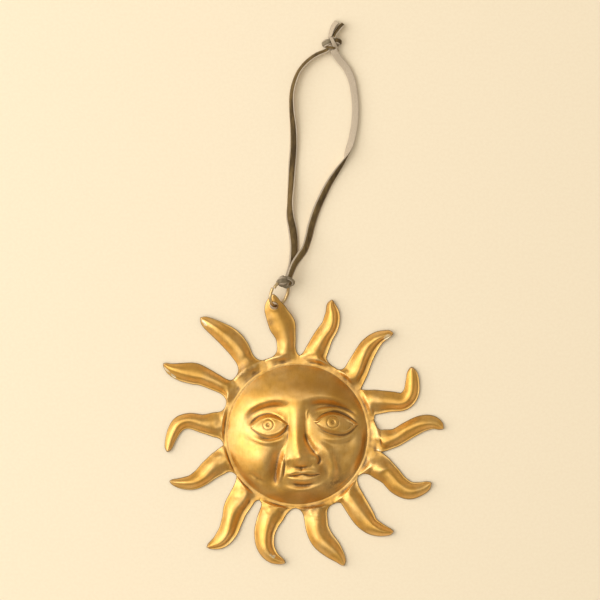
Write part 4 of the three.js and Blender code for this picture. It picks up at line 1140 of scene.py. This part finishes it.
def make_ring(material):
    rise = -hitch_along
    normal = np.cross(ring_axis, rise)
    half_turn = math.pi - RING_END_GAP / (2 * ring_radius)
    turn = np.linspace(-half_turn, half_turn, RING_STEPS)
    angle = RING_GAP_ANGLE + math.pi + turn
    offset = RING_END_OFFSET * (turn / math.pi) ** RING_END_SPRING
    middles = (ring_centre + np.outer(ring_radius * np.cos(angle), ring_axis)
               + np.outer(ring_radius * np.sin(angle), rise) + np.outer(offset, normal))
    facings = np.broadcast_to(normal, middles.shape)
    around = np.linspace(0, 2 * math.pi, WIRE_SIDES, endpoint=False)
    section = RING_WIRE / 2 * np.stack([np.cos(around), np.sin(around)], 1)
    sections = np.broadcast_to(section, (RING_STEPS, WIRE_SIDES, 2))
    ring = one_piece("jump_ring_wire", [swept(middles, facings, sections, [0] * WIRE_SIDES)], [material])
    # Painted shade: the wire darkens where it faces sideways or down
    set_attribute(ring, "painted_side_shade", [1 - max(0, v.normal.z) ** 2 for v in ring.data.vertices])
    return ring


# The hitch, the knot and the tails

# Each run of ribbon in them: the side that shows, the middle of its lobe, and its stations. A station is
# its place right of and above the hitch's or the knot's middle, its height, and the ribbon's width there.
HITCH_RUNS = [
    (PAINTED_SHEEN, (1.0, -0.45, 3.8),
        (1.7, 2.6, 4.2, 1.8), (1.0, 1.4, 3.0, 2.1), (-0.5, 0.3, 2.8, 2.2), (-0.9, -1.1, 3.3, 2.2),
        (0.2, -2.05, 3.9, 2.1), (1.5, -1.9, 4.6, 2.0), (2.6, -0.9, 5.0, 2.0), (2.8, 0.3, 5.2, 1.8)),
    (PAINTED_SHEEN, (-1.0, 0.3, 6.5),
        (-0.2, 2.3, 5.6, 1.8), (-1.5, 1.7, 5.2, 2.0), (-2.3, 0.5, 5.4, 2.1), (-2.2, -0.8, 6.2, 2.1),
        (-1.2, -1.5, 6.9, 2.0), (0.2, -1.3, 7.4, 2.0), (0.9, -0.3, 7.6, 1.8)),
    (PAINTED_SHEEN, (-0.9, 0.4, 7.0),
        (2.4, 0.1, 5.0, 1.7), (1.7, 0.4, 6.8, 2.2), (0.6, 0.6, 8.4, 2.6), (-0.8, 0.6, 9.4, 2.8),
        (-2.1, 0.3, 9.2, 2.6), (-2.8, -0.2, 8.2, 2.2), (-2.5, -0.5, 7.0, 1.8)),
    (PAINTED_SHEEN, (1.8, 0.4, 5.6),
        (-0.4, 2.1, 6.6, 1.1), (0.8, 1.9, 7.9, 1.2), (2.1, 1.5, 8.2, 1.2), (3.2, 0.85, 7.5, 1.3),
        (3.8, 0.1, 6.2, 1.4), (3.5, -0.8, 4.9, 1.4), (2.4, -1.4, 4.1, 1.3)),
    (PILE, (1.8, 0.4, 4.6),
        (1.9, 2.4, 6.0, 1.8), (2.0, 1.3, 6.3, 1.8), (2.2, 0.2, 6.2, 1.9), (2.2, -0.8, 5.5, 1.7),
        (1.9, -1.4, 4.4, 1.5)),
]
KNOT_RUNS = [
    (BACK, (0.5, -0.2, 0.5),
        (1.9, -3.0, 1.2, 2.2), (1.7, -1.7, 2.4, 1.7), (1.0, -0.3, 3.7, 1.5), (0.3, 1.1, 3.8, 1.4),
        (-0.2, 2.3, 3.0, 1.4), (-0.3, 3.4, 2.1, 1.6)),
    (PAINTED_SHEEN, (-1.6, 0.1, 1.2),
        (0.6, 1.9, 1.5, 1.8), (-0.6, 1.3, 2.9, 2.2), (-1.8, 0.8, 3.6, 2.7), (-2.9, 0.3, 3.2, 2.8),
        (-3.6, -0.1, 1.9, 2.4), (-3.0, -0.7, 0.9, 2.0), (-1.4, -1.2, 0.8, 1.8)),
    (PILE, (0.0, -0.5, 1.6),
        (-2.4, -0.7, 1.4, 1.6), (-1.8, -1.3, 2.7, 1.6), (-0.5, -1.5, 3.7, 1.5), (0.7, -1.6, 3.4, 1.5),
        (1.7, -1.5, 2.0, 1.5), (2.2, -0.8, 1.2, 1.5)),
    (PILE, (2.2, 0.6, 1.2),
        (0.6, 1.2, 1.6, 1.8), (1.5, 1.5, 2.9, 2.2), (2.5, 1.4, 3.3, 2.5), (3.4, 1.0, 2.6, 2.5),
        (3.6, 0.5, 1.4, 2.2), (2.8, 0, 0.9, 1.8), (1.6, -0.4, 0.8, 1.6)),
    (PAINTED_SHEEN, (0.8, 1.8, 1.0),
        (-0.9, 2.6, 1.4, 1.2), (0.0, 2.3, 2.6, 1.2), (1.2, 2.2, 3.0, 1.2), (2.1, 1.9, 2.5, 1.2),
        (2.6, 1.3, 1.4, 1.2)),
]
# Tails: place right of and above the knot's middle, lift off the table, roll and width
LEFT_TAIL = [
    (-0.4, 2.6, 1.4, -125, 1.9), (-0.1, 4, 0.5, -125, 2.6), (0.25, 5.4, 0, -122, 3.0),
    (1.05, 7.3, 0, -124, 3.1), (2.4, 8.9, 0, -128, 3.1),
]
RIGHT_TAIL = [
    (0.9, 2.4, 1.4, 70, 1.9), (1.3, 4, 0.5, 68, 2.6), (2.1, 5.4, 0, 66, 3.0), (3.4, 7.1, 0, 62, 3.1),
    (4.6, 8.3, 0, 60, 3.1),
]


def make_runs(name, runs, origin, materials):
    return one_piece(name, [bunched(origin, *run) for run in runs], materials)


def make_tail(name, route, centre, materials):
    points = [(centre[0] + r, centre[1] + u, TABLE_GAP + lift + lie_height(math.radians(roll)))
              for r, u, lift, roll, _ in route]
    shares, _ = even_shares(points, TAIL_STEPS)
    middles, tangents = curve_points(points, shares)
    tangents /= np.linalg.norm(tangents, axis=1)[:, None]
    turned, _ = curve_points([[math.radians(p[3]), p[4], 0] for p in route], shares)
    sections, slots = ribbon_sections(turned[:, 1])
    facings = rolled_faces(tangents, turned[:, 0])
    return one_piece(name, [swept(middles, facings, sections, slots)], materials)


# Build

make_camera(face_centre)
make_lights()

ribbon_materials = [
    # The third material is the pile painted lighter as its sheen
    velvet("ribbon_pile", *SMOOTH_PILE), woven_back(), velvet("ribbon_pile_painted_sheen", *PAINTED_SHEEN_PILE)]
left_strand, left_line, left_length = make_strand(
    "strand_left_ribbon", LEFT_ROUTE, LEFT_WIDTHS, ribbon_materials)
right_strand, right_line, right_length = make_strand(
    "strand_right_ribbon", RIGHT_ROUTE, RIGHT_WIDTHS, ribbon_materials)
hitch = make_runs("hitch_ribbon", HITCH_RUNS, hitch_centre[:2], ribbon_materials)
knot_centre = hitch_centre[:2] + [KNOT_RIGHT, KNOT_UP]
knot = make_runs("knot_ribbon", KNOT_RUNS, knot_centre, ribbon_materials)
left_tail = make_tail("tail_left_ribbon", LEFT_TAIL, knot_centre, ribbon_materials)
right_tail = make_tail("tail_right_ribbon", RIGHT_TAIL, knot_centre, ribbon_materials)

sun = make_sun(gold_paint())
# Hollows of the sheet, darkened in the paint as dust and painted shade
small = surface_shape(sun, SMALL_ROUNDS)
broad = surface_shape(sun, BROAD_ROUNDS)
from_middle = np.array([
    math.hypot(v.co.x / MM - face_centre[0], v.co.y / MM - face_centre[1]) for v in sun.data.vertices])
kept_dirt_and_shade = mix(1, RIM_DIRT_AND_SHADE, smoothstep(from_middle, FACE_RADIUS - 1, FACE_RADIUS))
set_attribute(sun, "hollow", kept_dirt_and_shade * np.maximum(0, small + BROAD_SHARE * broad))
set_attribute(sun, "ridge", np.maximum(0, -small))
set_attribute(sun, "edge", from_edge(sun))
# Worn pale spots, grime spots of which one is painted shade, and spots of painted shade
for name, spots in (("worn", WORN_SPOTS), ("grime_and_shade", GRIME_AND_SHADE_SPOTS), ("painted_shade", PAINTED_SHADE_SPOTS)):
    set_attribute(sun, name, spots_on(sun, spots))
ring = make_ring(brass_wire())

bpy.ops.mesh.primitive_plane_add(size=FLOOR_SIZE, location=(0, 0, -FLOOR_DROP * MM))
floor = bpy.context.object
floor.name = "floor"
floor.data.materials.append(floor_paper())

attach(sun, "sun")
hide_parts("sun_sheet")
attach(ring, "ring")
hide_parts("jump_ring")
soft_pieces = {
    hitch: "ribbon_hitch", left_strand: "ribbon_strand_left", right_strand: "ribbon_strand_right",
    knot: "ribbon_knot", left_tail: "ribbon_tail_left", right_tail: "ribbon_tail_right",
}
for piece, node in soft_pieces.items():
    if piece is hitch:
        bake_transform(piece)
    else:
        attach(piece, "hanger")
    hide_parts(node)
